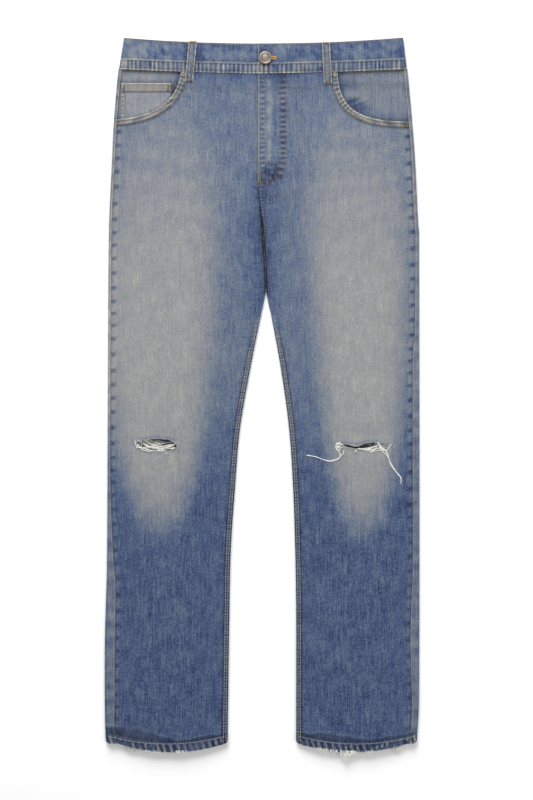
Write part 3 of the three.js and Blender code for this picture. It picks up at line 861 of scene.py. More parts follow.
def yoke(side):
    bottom = lambda distance: yoke_line(side, distance) + GAP / 2
    return back_piece(side, "yoke", bottom, lambda distance: WAIST_Y + 0 * distance, 32)


# Creases of the wearer's left facing, given like CREASES
FACING_CREASES = [
    (118, 432, 152, 447, 4.0, 1.0), (122, 452, 160, 441, 4.5, -0.7),
    (128, 426, 168, 430, 6.0, 0.5), (114, 463, 150, 466, 7.0, 0.6),
]


def pocket_facing(side):
    """The facing seen in a pocket mouth, with painted shade under the mouth's edge; the wearer's left one is
    pulled into a crease with painted shade, and the right one has a painted highlight.
    """
    nominal, u = grid(np.linspace(398, WAIST_Y, 44), np.linspace(0, 1, 62))
    x = side * mix(OUTLINE[side](nominal) - 4, 96, u)
    y = bow(x, nominal, 0 * u)
    edge, closed = mouth(side, 14, 10)
    kept = cells_inside(x, y, closed)
    snap_to(x, y, kept, [edge])
    z = FACING_HEIGHT + lift(nominal) + CLOTH + 0.15 * lumps(x, y, 25, 41 + side)
    wear_and_shade = base_wear_and_shade(x, y)
    wear_and_shade.fade = mix(wear_and_shade.fade, 0.56, 0.75)
    mouth_edge, _ = mouth(side)
    distance, _ = polyline_distance(x, y, mouth_edge)
    # darker towards the pocket mouth's edge, with painted shade just under it
    wear_and_shade.fade -= 0.32 * bell(distance, 13)
    wear_and_shade.darken(0.3 * bell(distance, 3.5))
    wear_and_shade.tint += 0.04
    if side == RIGHT:
        # a painted highlight on the right facing, and a painted shade line just above the coin pocket
        patch = bell(x + 172, 30) * bell(y - 478, 7)
        wear_and_shade.fade += 0.24 * patch
        wear_and_shade.darken(0.28 * bell(y - 469.5, 2.0))
    if side == LEFT:
        # painted shade in a wedge under the left facing's crease
        below = 431 + 0.39 * (x - 128) - y
        wedge = smoothstep(-1.5, 1.5, below) * bell(np.maximum(below, 0), 9, 1) * bell(x - 138, 17)
        wear_and_shade.fade -= 0.42 * wedge
        wear_and_shade.darken(0.3 * wedge)
        wear_and_shade.darken(0.03)
        # painted shade in each crease's trough, and a ridge made paler
        for crease in FACING_CREASES:
            mask = line_mask(x, y, crease)
            z -= crease[5] * mask
            wear_and_shade.fade -= 0.35 * crease[5] * mask
            wear_and_shade.darken(0.18 * max(crease[5], 0) * mask)
    return shell(f"denim_facing_{SIDE_NAMES[side]}", (x, y, z), wear_and_shade, CLOTH, -side, kept)


def coin_pocket():
    y, x = grid(np.linspace(402, COIN_TOP_Y, 40), np.linspace(COIN_OUTER_X, COIN_INNER_X, 50))
    edge, closed = mouth(RIGHT, 9, 7)
    kept = cells_inside(x, y, closed)
    snap_to(x, y, kept, [edge])
    z = COIN_HEIGHT + lift(y) + 1.0 + 0.12 * lumps(x, y, 22, 51)
    wear_and_shade = WearAndShade(0.74 + 0.05 * lumps(x, y, 24, 52))
    below = COIN_TOP_Y - y
    band = 1 - smoothstep(11.5, 13.2, below)
    wave = waver(x, 13, 0.7)
    wear_and_shade.fade += band * (0.12 + 0.08 * wave)
    wear_and_shade.tint += 0.16 * band
    # a painted shade line under the band's lower edge
    wear_and_shade.darken(0.3 * bell(below - 13.4, 1.1))
    worn_edge(wear_and_shade, below, 0.6, 1.3)
    z += band * (0.4 + 0.12 * wave)
    z = seam_puckers(wear_and_shade, z, x - COIN_OUTER_X, y, 4, 6, 1.9, 0.2)
    # painted shadow over the end of the pocket past the side seam
    shadow_past_side_seam = smoothstep(-137.4, -135.6, x)
    wear_and_shade.fade -= 0.5 * shadow_past_side_seam
    wear_and_shade.darken(0.5 * shadow_past_side_seam)
    mouth_edge, _ = mouth(RIGHT)
    distance, _ = polyline_distance(x, y, mouth_edge)
    # painted shadow along the front's mouth edge that lies over the pocket
    wear_and_shade.darken(0.25 * bell(distance, 2.5))
    return shell("denim_coin_pocket", (x, y, z), wear_and_shade, 1.0, 1, kept)


def back_pocket(side):
    """A patch pocket under the back, bare of any stitched device."""
    v, u = grid(np.linspace(0, 1, 64), np.linspace(0, 1, 60))
    width = POCKET_OUTER_X - POCKET_INNER_X
    middle_x = (POCKET_INNER_X + POCKET_OUTER_X) / 2
    taper = POCKET_TAPER * (1 - v)
    distance = mix(POCKET_INNER_X + taper, POCKET_OUTER_X - taper, u)
    half = width / 2 - POCKET_TAPER
    foot = POCKET_POINT_Y + (POCKET_CORNER_Y - POCKET_POINT_Y) * np.abs(distance - middle_x) / half
    y = mix(np.minimum(foot, POCKET_CORNER_Y), POCKET_TOP_Y, v)
    x = side * distance
    wear_and_shade = base_wear_and_shade(x, y)
    wear_and_shade.fade += 0.12
    edge = np.minimum.reduce([u * width, (1 - u) * width, v * 130])
    z = seam_puckers(wear_and_shade, np.zeros_like(x), edge, x + y, 8, 9, 1.1, 0.0)
    worn_edge(wear_and_shade, edge, 0.4, 1.5)
    worn_edge(wear_and_shade, (1 - v) * 140, 0.4, 1.5)
    z = 0.15 * np.clip(z, 0, 1)
    return shell(f"denim_back_pocket_{SIDE_NAMES[side]}", (x, y, z), wear_and_shade, CLOTH - 0.2, -side)


def band_columns():
    """The waistband's columns, each as x at its foot, x at its top, and height.

    They run from the fly's edge round the wearer's left, across the back and up to the fly again.
    """
    step = 1.5
    slope_x = BAND_EXTENSION + 2
    columns = []

    def lay(x_values, height):
        columns.extend((x, x, height(x)) for x in x_values)

    def turn(side, angles):
        for angle in angles:
            reach = BAND_RADIUS * math.sin(angle)
            ends = [side * (OUTLINE[side](y) - BAND_RADIUS + reach) for y in BAND_SIDE_Y]
            columns.append((*ends, LOOP_LIFT + BAND_RADIUS + BAND_RADIUS * math.cos(angle)))

    angles = np.linspace(0, math.pi, 13)
    overlap_left = lambda x: 1 - smoothstep(slope_x, OVERLAP_END_X, x)
    lay(np.arange(FLY_EDGE_X, slope_x, step), lambda x: BAND_HEIGHT + OVERLAP)
    lay(np.arange(slope_x, 208, step), lambda x: BAND_HEIGHT + OVERLAP * overlap_left(x))
    turn(LEFT, angles)
    lay(np.arange(206, -204, -3.2), lambda x: LOOP_LIFT)
    turn(RIGHT, angles[::-1])
    lay(np.arange(-203, BAND_EXTENSION, step), lambda x: BAND_HEIGHT)
    return np.array(columns, float).T


def waistband():
    """One doubled strip round the waist, gathered along its seam and worn at its edges, with painted shade in
    its gathers, in lines beside its stitching, and around the belt loops and the button.
    """
    foot_x, top_x, heights = band_columns()
    share = np.linspace(0, 1, 36)
    x = mix(foot_x, top_x, share[:, None])
    z = heights + 0 * x
    low, high = waist_seam(x) + GAP, band_top(x)
    y = mix(low, high, share[:, None])
    front = z > LOOP_LIFT + BAND_RADIUS
    upper_layer = z > BAND_HEIGHT + OVERLAP / 2
    wear_and_shade = WearAndShade(0.2 + 0.27 * lumps(x, y, 26, 61) + 0.16 * lumps(x, y, 9, 62))
    wear_and_shade.fade += 0.16 * (1 - smoothstep(-190, -110, x)) - 0.05 * smoothstep(120, 200, x)
    above = y - low
    gather = 1 - smoothstep(12.5, 15.5, above)
    wave = waver(x, 6.6, 0.9)
    uneven = np.clip(0.6 + 0.95 * lumps(x, 0 * y, 22, 63), 0.0, 1.5)
    wear_and_shade.fade += gather * (0.12 + 0.7 * crest(wave) ** 2 * uneven)
    # painted shade in the gathers' hollows
    wear_and_shade.darken(0.5 * gather * hollow(wave) * (0.6 + 0.4 * uneven))
    # painted shade in lines beside the lower stitching and above the gathers
    wear_and_shade.dark_lines(above, [(2.9, 1.0, 0.42), (13.0, 1.0, 0.34), (17.6, 1.4, 0.22)])
    wear_and_shade.fade += 0.5 * bell(above - 15.2, 1.2)
    worn_edge(wear_and_shade, above, 0.8, 1.3)
    wear_and_shade.darken(0.3 * bell(high - y, 1.6))
    wear_and_shade.tint += 0.45 * bell(high - y, 1.8)
    for side in SIDES:
        loop_x = mix(LOOP_FOOT[side][0], LOOP_TOP[side][0], 0.5)
        # less faded cloth and painted shade about each front belt loop
        wear_and_shade.fade -= 0.34 * bell(x - loop_x, 14) * front
        wear_and_shade.darken(0.24 * bell(x - loop_x, 9, 4) * front)
    worn_edge(wear_and_shade, np.where(upper_layer, np.abs(x - FLY_EDGE_X), FAR), 0.6, 1.4)
    button_ring = np.hypot(x - BUTTON_X, y - BUTTON_Y)
    # painted shade in a ring around the button
    wear_and_shade.darken(0.3 * bell(button_ring - 11, 3) * front)
    detail = gather * 0.28 * wave + 0.1 * lumps(x, y, 20, 64)
    detail += 0.35 * (1 - smoothstep(0, 1.6, np.abs(above - 14.8)))
    z = z + np.where(front, np.clip(detail, -0.3, 0.5), 0)
    return shell("denim_waistband", (x, y, z), wear_and_shade, BAND_CLOTH, 1)


def belt_loop(side):
    """A front belt loop: a folded strip standing over the waistband, worn at its edges, with painted shade
    along its stitching.
    """
    top, foot = np.array(LOOP_TOP[side], float), np.array(LOOP_FOOT[side], float)
    base = FRONT_HEIGHT + LOOP_LIFT + CLOTH + GAP
    face = BAND_HEIGHT + GAP
    height = smooth_curve([
        (0, base + 1.5), (0.12, base + 1.6), (0.22, face + 1.7), (0.32, face + 2.3),
        (0.6, face + 2.5), (0.88, face + 2.2), (1, face + 1.5),
    ])
    v, u = grid(np.linspace(0, 1, 54), np.linspace(-1, 1, 17))
    x = mix(foot[0], top[0], v) + LOOP_HALF_WIDTH * u
    y = mix(foot[1], top[1], v)
    z = height(v) + 0.28 * np.abs(u) ** 3 - 0.3 * np.clip(np.abs(u) - 0.9, 0, 1) * 8
    wear_and_shade = WearAndShade(0.42 + 0.42 * lumps(x, y, 7, 71 + side))
    wear_and_shade.tint += 0.1
    worn_edge(wear_and_shade, (1 - np.abs(u)) * LOOP_HALF_WIDTH, 0.8, 1.2)
    inner_line = bell(np.abs(u) - 0.6, 0.17)
    # painted shade in the grooves along its stitching
    wear_and_shade.darken(0.62 * inner_line)
    z -= 0.22 * inner_line
    worn_edge(wear_and_shade, np.minimum(v, 1 - v) * LOOP_LENGTH, 0.6, 1.2)
    return shell(f"denim_loop_front_{SIDE_NAMES[side]}", (x, y, z), wear_and_shade, 1.3, 1)


def back_loop(name, middle_x):
    foot_y, top_y = waist_seam(middle_x) - 14, band_top(middle_x) - 1
    v, u = grid(np.linspace(0, 1, 40), np.linspace(-1, 1, 13))
    x = middle_x + LOOP_HALF_WIDTH * u
    y = mix(foot_y, top_y, v)
    wear_and_shade = WearAndShade(0.45 + 0.12 * lumps(x, y, 7, 75))
    worn_edge(wear_and_shade, (1 - np.abs(u)) * LOOP_HALF_WIDTH, 0.8, 1.1)
    # painted shade along the stitch lines
    wear_and_shade.darken(0.3 * bell(np.abs(u) - 0.6, 0.13))
    z = 0.12 * np.clip(1 - np.abs(np.abs(u) - 0.6) * 5, 0, 1)
    return shell(f"denim_loop_back_{name}", (x, y, z), wear_and_shade, 1.0, -1)


# ---------------------------------------------------------------- threads, yarns and stitches

class Ground:
    """Finished cloth, read as the height that thread lies at."""

    def __init__(self, objects):
        parts = []
        for ob in objects:
            mesh = ob.data
            points = np.empty(len(mesh.vertices) * 3)
            mesh.vertices.foreach_get("co", points)
            corners = np.empty(len(mesh.loops), int)
            mesh.loops.foreach_get("vertex_index", corners)
            parts.append((points.reshape(-1, 3), corners.reshape(-1, 4)))
        vertices, faces = join(parts)
        self.tree = BVHTree.FromPolygons(vertices.tolist(), faces.tolist())

    def height(self, x, y, from_above=True):
        origin = (x * MM, y * MM, 0.1 if from_above else -0.1)
        hit = self.tree.ray_cast(origin, (0, 0, -1 if from_above else 1))[0]
        return None if hit is None else hit[2] / MM


def capsules(starts, ends, radius):
    """Short rounded bars between pairs of points, as one array of vertices and one of quads."""
    starts, ends = np.asarray(starts, float), np.asarray(ends, float)
    axis = ends - starts
    length = np.linalg.norm(axis, axis=1, keepdims=True)
    axis = axis / np.maximum(length, 1e-6)
    up = np.where(np.abs(axis[:, 2:]) > 0.9, [[1.0, 0, 0]], [[0, 0, 1.0]])
    across = np.cross(axis, up)
    across /= np.linalg.norm(across, axis=1, keepdims=True)
    over = np.cross(across, axis)
    sides = 6
    angles = np.arange(sides) * 2 * math.pi / sides
    circle = across[:, None] * np.cos(angles)[:, None] + over[:, None] * np.sin(angles)[:, None]
    rings = []
    for at, width in ((0.0, 0.45), (0.14, 1.0), (0.86, 1.0), (1.0, 0.45)):
        centre = starts + axis * length * at
        rings.append(centre[:, None] + radius * width * circle)
    vertices = np.stack(rings, axis=1)
    last = 3 * sides
    quads = []
    for base in range(0, last, sides):
        for side in range(sides):
            a, b = base + side, base + (side + 1) % sides
            quads.append((a, b, b + sides, a + sides))
    quads += [(3, 2, 1, 0), (5, 4, 3, 0)]
    quads += [(last, last + 1, last + 2, last + 3), (last, last + 3, last + 4, last + 5)]
    faces = np.array(quads)[None] + (np.arange(len(starts)) * 4 * sides)[:, None, None]
    return vertices.reshape(-1, 3), faces.reshape(-1, 4)


def closed_tube(rings, ends):
    """Vertices and triangles of a tube through rings of points, with a point closing each end."""
    count, sides = rings.shape[:2]
    vertices = np.vstack([rings.reshape(-1, 3), ends])
    first, last = len(vertices) - 2, len(vertices) - 1
    end = (count - 1) * sides
    faces = []
    for base in range(0, end, sides):
        for side in range(sides):
            a, b = base + side, base + (side + 1) % sides
            faces += [(a, b, b + sides), (a, b + sides, a + sides)]
    for side in range(sides):
        after = (side + 1) % sides
        faces += [(first, after, side), (last, end + side, end + after)]
    return vertices, np.array(faces)


def tube(points, radius, sides=5):
    """A closed thin tube through points, tapered at its ends."""
    points = np.asarray(points, float)
    direction = np.gradient(points, axis=0)
    direction /= np.maximum(np.linalg.norm(direction, axis=1, keepdims=True), 1e-9)
    across = np.cross(direction, [0, 0, 1.0])
    across /= np.maximum(np.linalg.norm(across, axis=1, keepdims=True), 1e-9)
    over = np.cross(across, direction)
    angles = np.arange(sides) * 2 * math.pi / sides
    width = np.full(len(points), radius)
    width[[0, -1]] *= 0.35
    circle = across[:, None] * np.cos(angles)[:, None] + over[:, None] * np.sin(angles)[:, None]
    rings = points[:, None] + width[:, None, None] * circle
    return closed_tube(rings, points[[0, -1]])


def join(parts):
    """Several pieces' vertices and faces as one piece's."""
    vertices, faces, start = [], [], 0
    for part_vertices, part_faces in parts:
        vertices.append(part_vertices)
        faces.append(part_faces + start)
        start += len(part_vertices)
    return np.vstack(vertices), np.vstack(faces)


def along_curve(points, step):
    """Evenly spaced points on a smooth curve through given ones."""
    points = np.asarray(points, float)
    t = np.arange(len(points))
    dense = np.linspace(0, len(points) - 1, 12 * len(points))
    smooth = np.stack([smooth_curve(np.stack([t, column], axis=1))(dense) for column in points.T], axis=1)
    lengths = np.r_[0, np.cumsum(np.linalg.norm(np.diff(smooth, axis=0), axis=1))]
    count = max(4, int(lengths[-1] / step))
    return at_lengths(smooth, lengths, np.linspace(0, lengths[-1], count))


def stitch_row(line, ground, pitch, radius, from_above):
    """Stitches laid along a line on the ground, as pairs of end points."""
    line = densify(line, 0.5)
    lengths = lengths_along(line)
    starts, ends = [], []
    side = 1 if from_above else -1
    for at in np.arange(0.4, lengths[-1] - pitch * 0.75, pitch):
        pair = []
        for s in (at, at + 0.74 * pitch):
            x, y = np.interp(s, lengths, line[:, 0]), np.interp(s, lengths, line[:, 1])
            z = ground.height(x, y, from_above)
            if z is not None:
                pair.append((x, y, z + side * radius * 0.45 if from_above else max(z - 0.05, 0.25)))
        if len(pair) == 2 and abs(pair[0][2] - pair[1][2]) < 1.2:
            starts.append(pair[0])
            ends.append(pair[1])
    return starts, ends


def thread_piece(name, vertices, faces, material):
    ob = make_mesh(name, vertices, faces, sharp_degrees=0)
    ob.data.materials.append(material)
    return ob


def stitching(name, rows, material, ground, pitch=3.2, radius=0.33, from_above=True):
    starts, ends = [], []
    for row in rows:
        row_starts, row_ends = stitch_row(row, ground, pitch, radius, from_above)
        starts += row_starts
        ends += row_ends
    return thread_piece(name, *capsules(starts, ends, radius), material)


def bartack(centre, length, angle, width, ground, from_above):
    """A dense bar of thread, length long and width wide, laid at an angle in degrees."""
    turn = math.radians(angle)
    direction = np.array([math.cos(turn), math.sin(turn)])
    sideways = np.array([-direction[1], direction[0]])
    z = ground.height(*centre, from_above)
    if z is None:
        return [], []
    z = z + 0.25 if from_above else max(z, 0.3)
    starts, ends = [], []
    for i, s in enumerate(np.arange(-length / 2, length / 2, 0.5)):
        lean = 0.25 if i % 2 else -0.25
        a = np.array(centre) + direction * (s - lean) - sideways * width / 2
        b = np.array(centre) + direction * (s + lean) + sideways * width / 2
        starts.append((*a, z))
        ends.append((*b, z))
    return starts, ends


def shifted(line, offset):
    """A line moved sideways: to its left for a positive offset."""
    line = densify(line, 1.0)
    direction = np.gradient(line, axis=0)
    direction /= np.linalg.norm(direction, axis=1, keepdims=True)
    return line + offset * np.stack([-direction[:, 1], direction[:, 0]], axis=1)


def inseam_line(side, inset, high=72):
    y = np.linspace(HEM_Y + 3, high, 120)
    return np.stack([INSEAM[side](y) + side * (inset + GAP), y], axis=1)


def band_rows():
    """The waistband's two lower rows, one at its edge and one above its gathers."""
    x = np.linspace(-205, 207, 60)
    return [np.stack([x, waist_seam(x) + GAP + above], axis=1) for above in (2.0, 14.2)]


def hem_line(side):
    u = np.linspace(0.02, 0.99, 50)
    outer = side * OUTLINE[side](HEM_Y)
    x = mix(outer, INSEAM[side](HEM_Y) + side * GAP, u)
    return np.stack([x, bow(x, HEM_Y + HEM_STITCH + 0 * u, u)], axis=1)


def tonal_rows():
    """Topstitching in thread that has faded with the cloth."""
    rows = band_rows()
    x = np.linspace(-200, 204, 80)
    rows.append(np.stack([x, band_top(x) - 2.2], axis=1))
    seam = np.array([(float(centre_front(y)), y) for y in np.linspace(268, FLY_END_Y - 4, 20)])
    rows.append(seam + [2.2, 0])
    rows.append(np.array([(FLY_EDGE_X + 2.2, 478), (FLY_EDGE_X + 2.2, FLY_END_Y + 6)]))
    for side in SIDES:
        foot, top = np.array(LOOP_FOOT[side], float), np.array(LOOP_TOP[side], float)
        rows += [np.array([foot + [dx, 3], top + [dx, -3]]) for dx in (-3.6, 3.6)]
    return rows


def tan_rows():
    """Topstitching still tan: the pocket mouths and the coin pocket."""
    rows = [np.array([(-206, y), (-134, y)]) for y in (COIN_TOP_Y - 2.2, COIN_TOP_Y - 11.8)]
    rows += [np.array([(dx, 452), (dx, 420)]) for dx in (-209.2, -204.6)]
    for side in SIDES:
        edge, _ = mouth(side)
        rows += [shifted(edge, -side * 2.2), shifted(edge, -side * 7.4)]
    return rows


def pale_rows():
    """Coarse topstitching rubbed pale: the inseams and the hems."""
    rows = []
    for side in SIDES:
        rows += [inseam_line(side, 2.6, high=120), inseam_line(side, 6.4), hem_line(side)]
    return rows


def back_rows():
    """Topstitching on the back: yoke, centre seam, pockets, waistband and hems."""
    rows = band_rows()
    rows += [np.array([(dx, CROTCH_Y), (dx, 405)]) for dx in (2.4, 8.0)]
    for side in SIDES:
        for inset in (2.2, 8.0):
            rows.append(np.array([
                (side * d, float(yoke_line(side, d)) + inset) for d in np.linspace(2, 214, 30)
            ]))
            rows.append(inseam_line(side, inset))
            pocket = [
                (POCKET_INNER_X + inset, POCKET_TOP_Y - 1),
                (POCKET_INNER_X + POCKET_TAPER + inset * 0.9, POCKET_CORNER_Y + inset * 0.5),
                ((POCKET_INNER_X + POCKET_OUTER_X) / 2, POCKET_POINT_Y + inset),
                (POCKET_OUTER_X - POCKET_TAPER - inset * 0.9, POCKET_CORNER_Y + inset * 0.5),
                (POCKET_OUTER_X - inset, POCKET_TOP_Y - 1),
            ]
            rows.append(np.array([(side * px, py) for px, py in pocket]))
            rows.append(np.array([
                (side * (POCKET_INNER_X + 4), POCKET_TOP_Y - 2 - inset),
                (side * (POCKET_OUTER_X - 4), POCKET_TOP_Y - 2 - inset),
            ]))
        rows.append(hem_line(side))
    return rows


def front_bartacks(ground):
    # each bar's centre, length, lean in degrees and width
    bars = []
    for side in SIDES:
        (foot_x, foot_y), (top_x, top_y) = LOOP_FOOT[side], LOOP_TOP[side]
        bars += [((foot_x, foot_y + 2.4), 9.5, 0, 3.0), ((top_x, top_y - 2.2), 9.5, 0, 3.0)]
    bars += [
        ((-216.6, 408.5), 8, 84, 2.6), ((217.5, 405.0), 7, 90, 2.6), ((-207.5, 460.5), 9, 84, 2.6),
        ((-140.5, 461.0), 10, 84, 2.6), ((-2.4, 325), 17, 90, 3.2), ((231.0, 298.5), 5, 90, 2.2),
    ]
    return all_bartacks(bars, ground)


def back_bartacks(ground):
    bars = []
    for middle_x in (-BACK_LOOP_X, 0, BACK_LOOP_X):
        for y in (waist_seam(middle_x) - 11.6, band_top(middle_x) - 3.4):
            bars.append(((middle_x, float(y)), 9.5, 0, 3.0))
    for side in SIDES:
        for px in (POCKET_INNER_X + 4, POCKET_OUTER_X - 4):
            bars.append(((side * px, POCKET_TOP_Y - 6), 10, 90, 2.4))
    return all_bartacks(bars, ground, from_above=False)


def all_bartacks(bars, ground, from_above=True):
    pairs = [bartack(*bar, ground, from_above) for bar in bars]
    return [sum((pair[k] for pair in pairs), []) for k in (0, 1)]


def buttonhole():
    """Purled thread round the slit that shows beside the button, ending in a round eye."""
    starts, ends = [], []
    z = BAND_HEIGHT + OVERLAP + 0.2
    slit, reach = 0.5, 2.7
    eye = np.array([19.4, BUTTON_Y])
    for x in np.arange(10, 19.5, 0.55):
        for side in (-1, 1):
            starts.append((x, BUTTON_Y + side * slit, z + 0.15))
            ends.append((x + 0.2, BUTTON_Y + side * reach, z))
    for angle in np.linspace(-1.4, 1.4, 11):
        direction = np.array([math.cos(angle), math.sin(angle)])
        starts.append((*(eye + slit * direction), z + 0.15))
        ends.append((*(eye + reach * direction), z))
    return starts, ends


# Where blue warp threads stand out of a rip's lips: from one place to another, their count and lean.
WARP_FRAYS = {
    RIGHT: [((-184, -69), (-140, -66.5), 26, -3.2), ((-136, -68), (-128, -78), 14, 1.0),
            ((-180, -81), (-132, -84), 16, 2.4)],
    LEFT: [((140, -71.5), (188, -71.0), 24, -2.4), ((174, -74), (186, -76), 12, 1.5),
           ((132, -77), (176, -80), 16, 2.0)],
}
# Loose yarns, each given as points in the plane, and the number of strands it splits into.
KNEE_YARNS_RIGHT = [
    ([(-190, -68), (-188, -76), (-180, -79), (-168, -78), (-150, -80), (-135, -76)], 3),
    ([(-184, -68), (-176, -74), (-166, -78.5), (-154, -80.5), (-142, -79), (-130, -74)], 4),
    ([(-178, -68), (-172, -71), (-164, -75), (-152, -77), (-140, -75), (-128, -73)], 3),
    ([(-172, -66), (-166, -72.5), (-158, -73), (-148, -72.4), (-138, -71), (-130, -70)], 2),
    ([(-188, -77), (-178, -80), (-168, -82.5), (-154, -83), (-142, -84.5)], 2),
    ([(-176, -66.5), (-170, -69), (-160, -68.5), (-152, -68.4)], 1),
    ([(-186, -72), (-181, -69), (-176, -72), (-172, -77)], 1),
    ([(-160, -80), (-150, -82), (-140, -80.5), (-130, -79)], 3),
    ([(-181, -82), (-172, -84.5), (-164, -84)], 1),
    ([(-189, -71), (-184, -75), (-188, -79), (-180, -76), (-184, -70), (-176, -71)], 2),
    ([(-170, -68), (-163, -76), (-157, -70), (-150, -78)], 1),
    ([(-186, -66.5), (-178, -70), (-170, -68), (-160, -70.5), (-146, -69)], 1),
    ([(-150, -84), (-146, -88), (-140, -86)], 1),
]
KNEE_YARNS_LEFT = [
    ([(172.5, -70.5), (179, -78), (186, -85.5), (192, -100.5), (202.5, -117), (208.5, -124.5),
      (208.5, -133.5)], 2),
    ([(175.5, -81), (182, -86), (189, -93), (194, -106), (204, -119)], 1),
    ([(170, -79), (179, -82), (187.5, -82.5), (192, -77), (195, -72.6)], 1),
    ([(111, -79.5), (117, -88.5), (115.5, -94.5), (103.5, -99), (94.5, -97.5), (80, -93), (66, -90)], 2),
    ([(123, -84), (121, -89), (117.8, -91.5)], 1),
    ([(111, -72), (118.5, -74), (114, -78), (110.5, -76), (117, -71.5)], 2),
    ([(122, -75), (114, -73), (111, -77), (116, -80), (121, -78)], 1),
    ([(110, -79), (113, -83), (117, -81), (114, -76)], 1),
    ([(144, -81), (152, -81), (160, -80), (168, -78.5), (174, -76)], 2),
    ([(148, -80), (156, -82.5), (165, -82), (173, -79)], 3),
    ([(146, -79.5), (142, -83), (139, -86.5)], 2),
    ([(151, -80), (156, -84.5), (160, -81.5)], 1),
    ([(159, -80), (163, -85), (168, -83), (171, -79)], 2),
    ([(168, -72), (174, -75), (177, -80), (184, -84)], 2),
    ([(158, -73), (165, -75), (173, -74)], 1),
    ([(160, -79), (168, -84), (177, -83)], 1),
]


YARN_RADIUS = 0.5


def yarn_piece(name, bundles, ground, seed, material):
    """Loose weft yarns lying on the cloth, each bundle a few strands that wander apart."""
    rng = np.random.default_rng(seed)
    parts = []
    for points, strands in bundles:
        for strand in range(strands):
            line = along_curve(np.array(points) + rng.normal(0, 0.35, (len(points), 2)), 1.2)
            count = len(line)
            sway = np.sin(np.linspace(0, rng.uniform(4, 9), count) + rng.uniform(0, 6))
            line = line + 0.32 * sway[:, None] * rng.normal(0, 1, 2)
            drift = (strand - (strands - 1) / 2) * 0.62
            line[:, 1] += drift
            heights = np.array([lying_height(ground, x, y) for x, y in line])
            heights = np.convolve(np.pad(heights, 4, "edge"), np.ones(9) / 9, "valid")
            heights = np.maximum(heights, 0.4) + 0.45 + 0.25 * strand
            parts.append(tube(np.column_stack([line, heights]), YARN_RADIUS * rng.uniform(0.8, 1.15)))
    return thread_piece(name, *join(parts), material)


def warp_frays(side, ground, material):
    """Short blue warp threads standing out of a rip's lips."""
    rng = np.random.default_rng(31 + side)
    parts = []
    for start, end, count, lean in WARP_FRAYS[side]:
        for share in np.linspace(0, 1, count):
            x, y = mix(np.array(start, float), np.array(end, float), share) + rng.normal(0, 0.7, 2)
            z = max(lying_height(ground, x, y), 3.4) + 0.35
            tip = (x + rng.normal(0, 1.3), y + lean * rng.uniform(0.5, 1.5), z + rng.uniform(0, 0.5))
            bend = (mix(x, tip[0], 0.5) + rng.normal(0, 0.6), mix(y, tip[1], 0.55), z + 0.35)
            parts.append(tube(along_curve([(x, y, z), bend, tip], 0.8), 0.26, 4))
    return thread_piece(f"knee_warp_{SIDE_NAMES[side]}", *join(parts), material)


def lying_height(ground, x, y):
    z = ground.height(x, y)
    return 0.0 if z is None else z


def hem_tufts(ground, material):
    """Frayed yarns hanging out of the hems where their fold has worn through."""
    rng = np.random.default_rng(23)
    parts = []
    # middle, half-width, longest reach, lean and count of each tuft
    tufts = [
        (128, 12, 16, -11, 20), (131, 11, 9, 4, 14), (202, 6, 9, 0, 16), (98, 18, 3.4, 1, 26),
        (-198, 6, 8, 4, 11), (-189, 5, 7, -3, 9), (-122, 8, 7, 1, 12), (-166, 16, 2.2, 0, 10),
        (150, 18, 2.4, 0, 10),
    ]
    for middle, half, reach, lean, count in tufts:
        side = LEFT if middle > 0 else RIGHT
        outer, inner = side * OUTLINE[side](HEM_Y), INSEAM[side](HEM_Y)
        for _ in range(count):
            x = middle + rng.uniform(-half, half)
            across = (x - outer) / (inner - outer)
            root_y = float(bow(x, HEM_Y + 1.0, across))
            depth = reach * rng.uniform(0.5, 1.0) * (1 - 0.4 * abs(x - middle) / half)
            tip_x = mix(x, middle + lean, 0.7 * rng.uniform(0.3, 1.0)) + rng.normal(0, 0.8)
            top = max(lying_height(ground, x, root_y + 0.6), 5.0)
            points = [
                (x, root_y + 1.6, top + 0.3),
                (x + rng.normal(0, 0.4), root_y - 0.25 * depth - 0.6, top + 0.1),
                (mix(x, tip_x, 0.6) + rng.normal(0, 0.7), root_y - 0.65 * depth - 0.8, top - 1.0),
                (tip_x, root_y - depth - 1.0, top - 2.0 + rng.uniform(-0.6, 0.6)),
            ]
            parts.append(tube(along_curve(points, 0.9), 0.36 * rng.uniform(0.8, 1.2)))
    return thread_piece("hem_frays", *join(parts), material)


# ---------------------------------------------------------------- metal

def turned(name, section, x, y, steps, dark_rings):
    """A turned metal piece from (radius, height) pairs that start and end on its axis.

    dark_rings are (inner, outer) radii whose faces take the second, tarnished material; on a rivet's rim it
    is painted shade.
    """
    section = np.array(section, float)
    angles = np.arange(steps) * 2 * math.pi / steps
    rings = section[1:-1]
    rings = np.stack([
        x + rings[:, None, 0] * np.cos(angles), y + rings[:, None, 0] * np.sin(angles),
        rings[:, None, 1] + 0 * angles,
    ], axis=-1)
    vertices, faces = closed_tube(rings, [[x, y, section[0, 1]], [x, y, section[-1, 1]]])
    ob = make_mesh(name, vertices, faces, sharp_degrees=38)
    for polygon in ob.data.polygons:
        centre = polygon.center / MM
        radius = math.hypot(centre[0] - x, centre[1] - y)
        if centre[2] > section[:, 1].mean() and any(inner < radius < outer for inner, outer in dark_rings):
            polygon.material_index = 1
    return ob


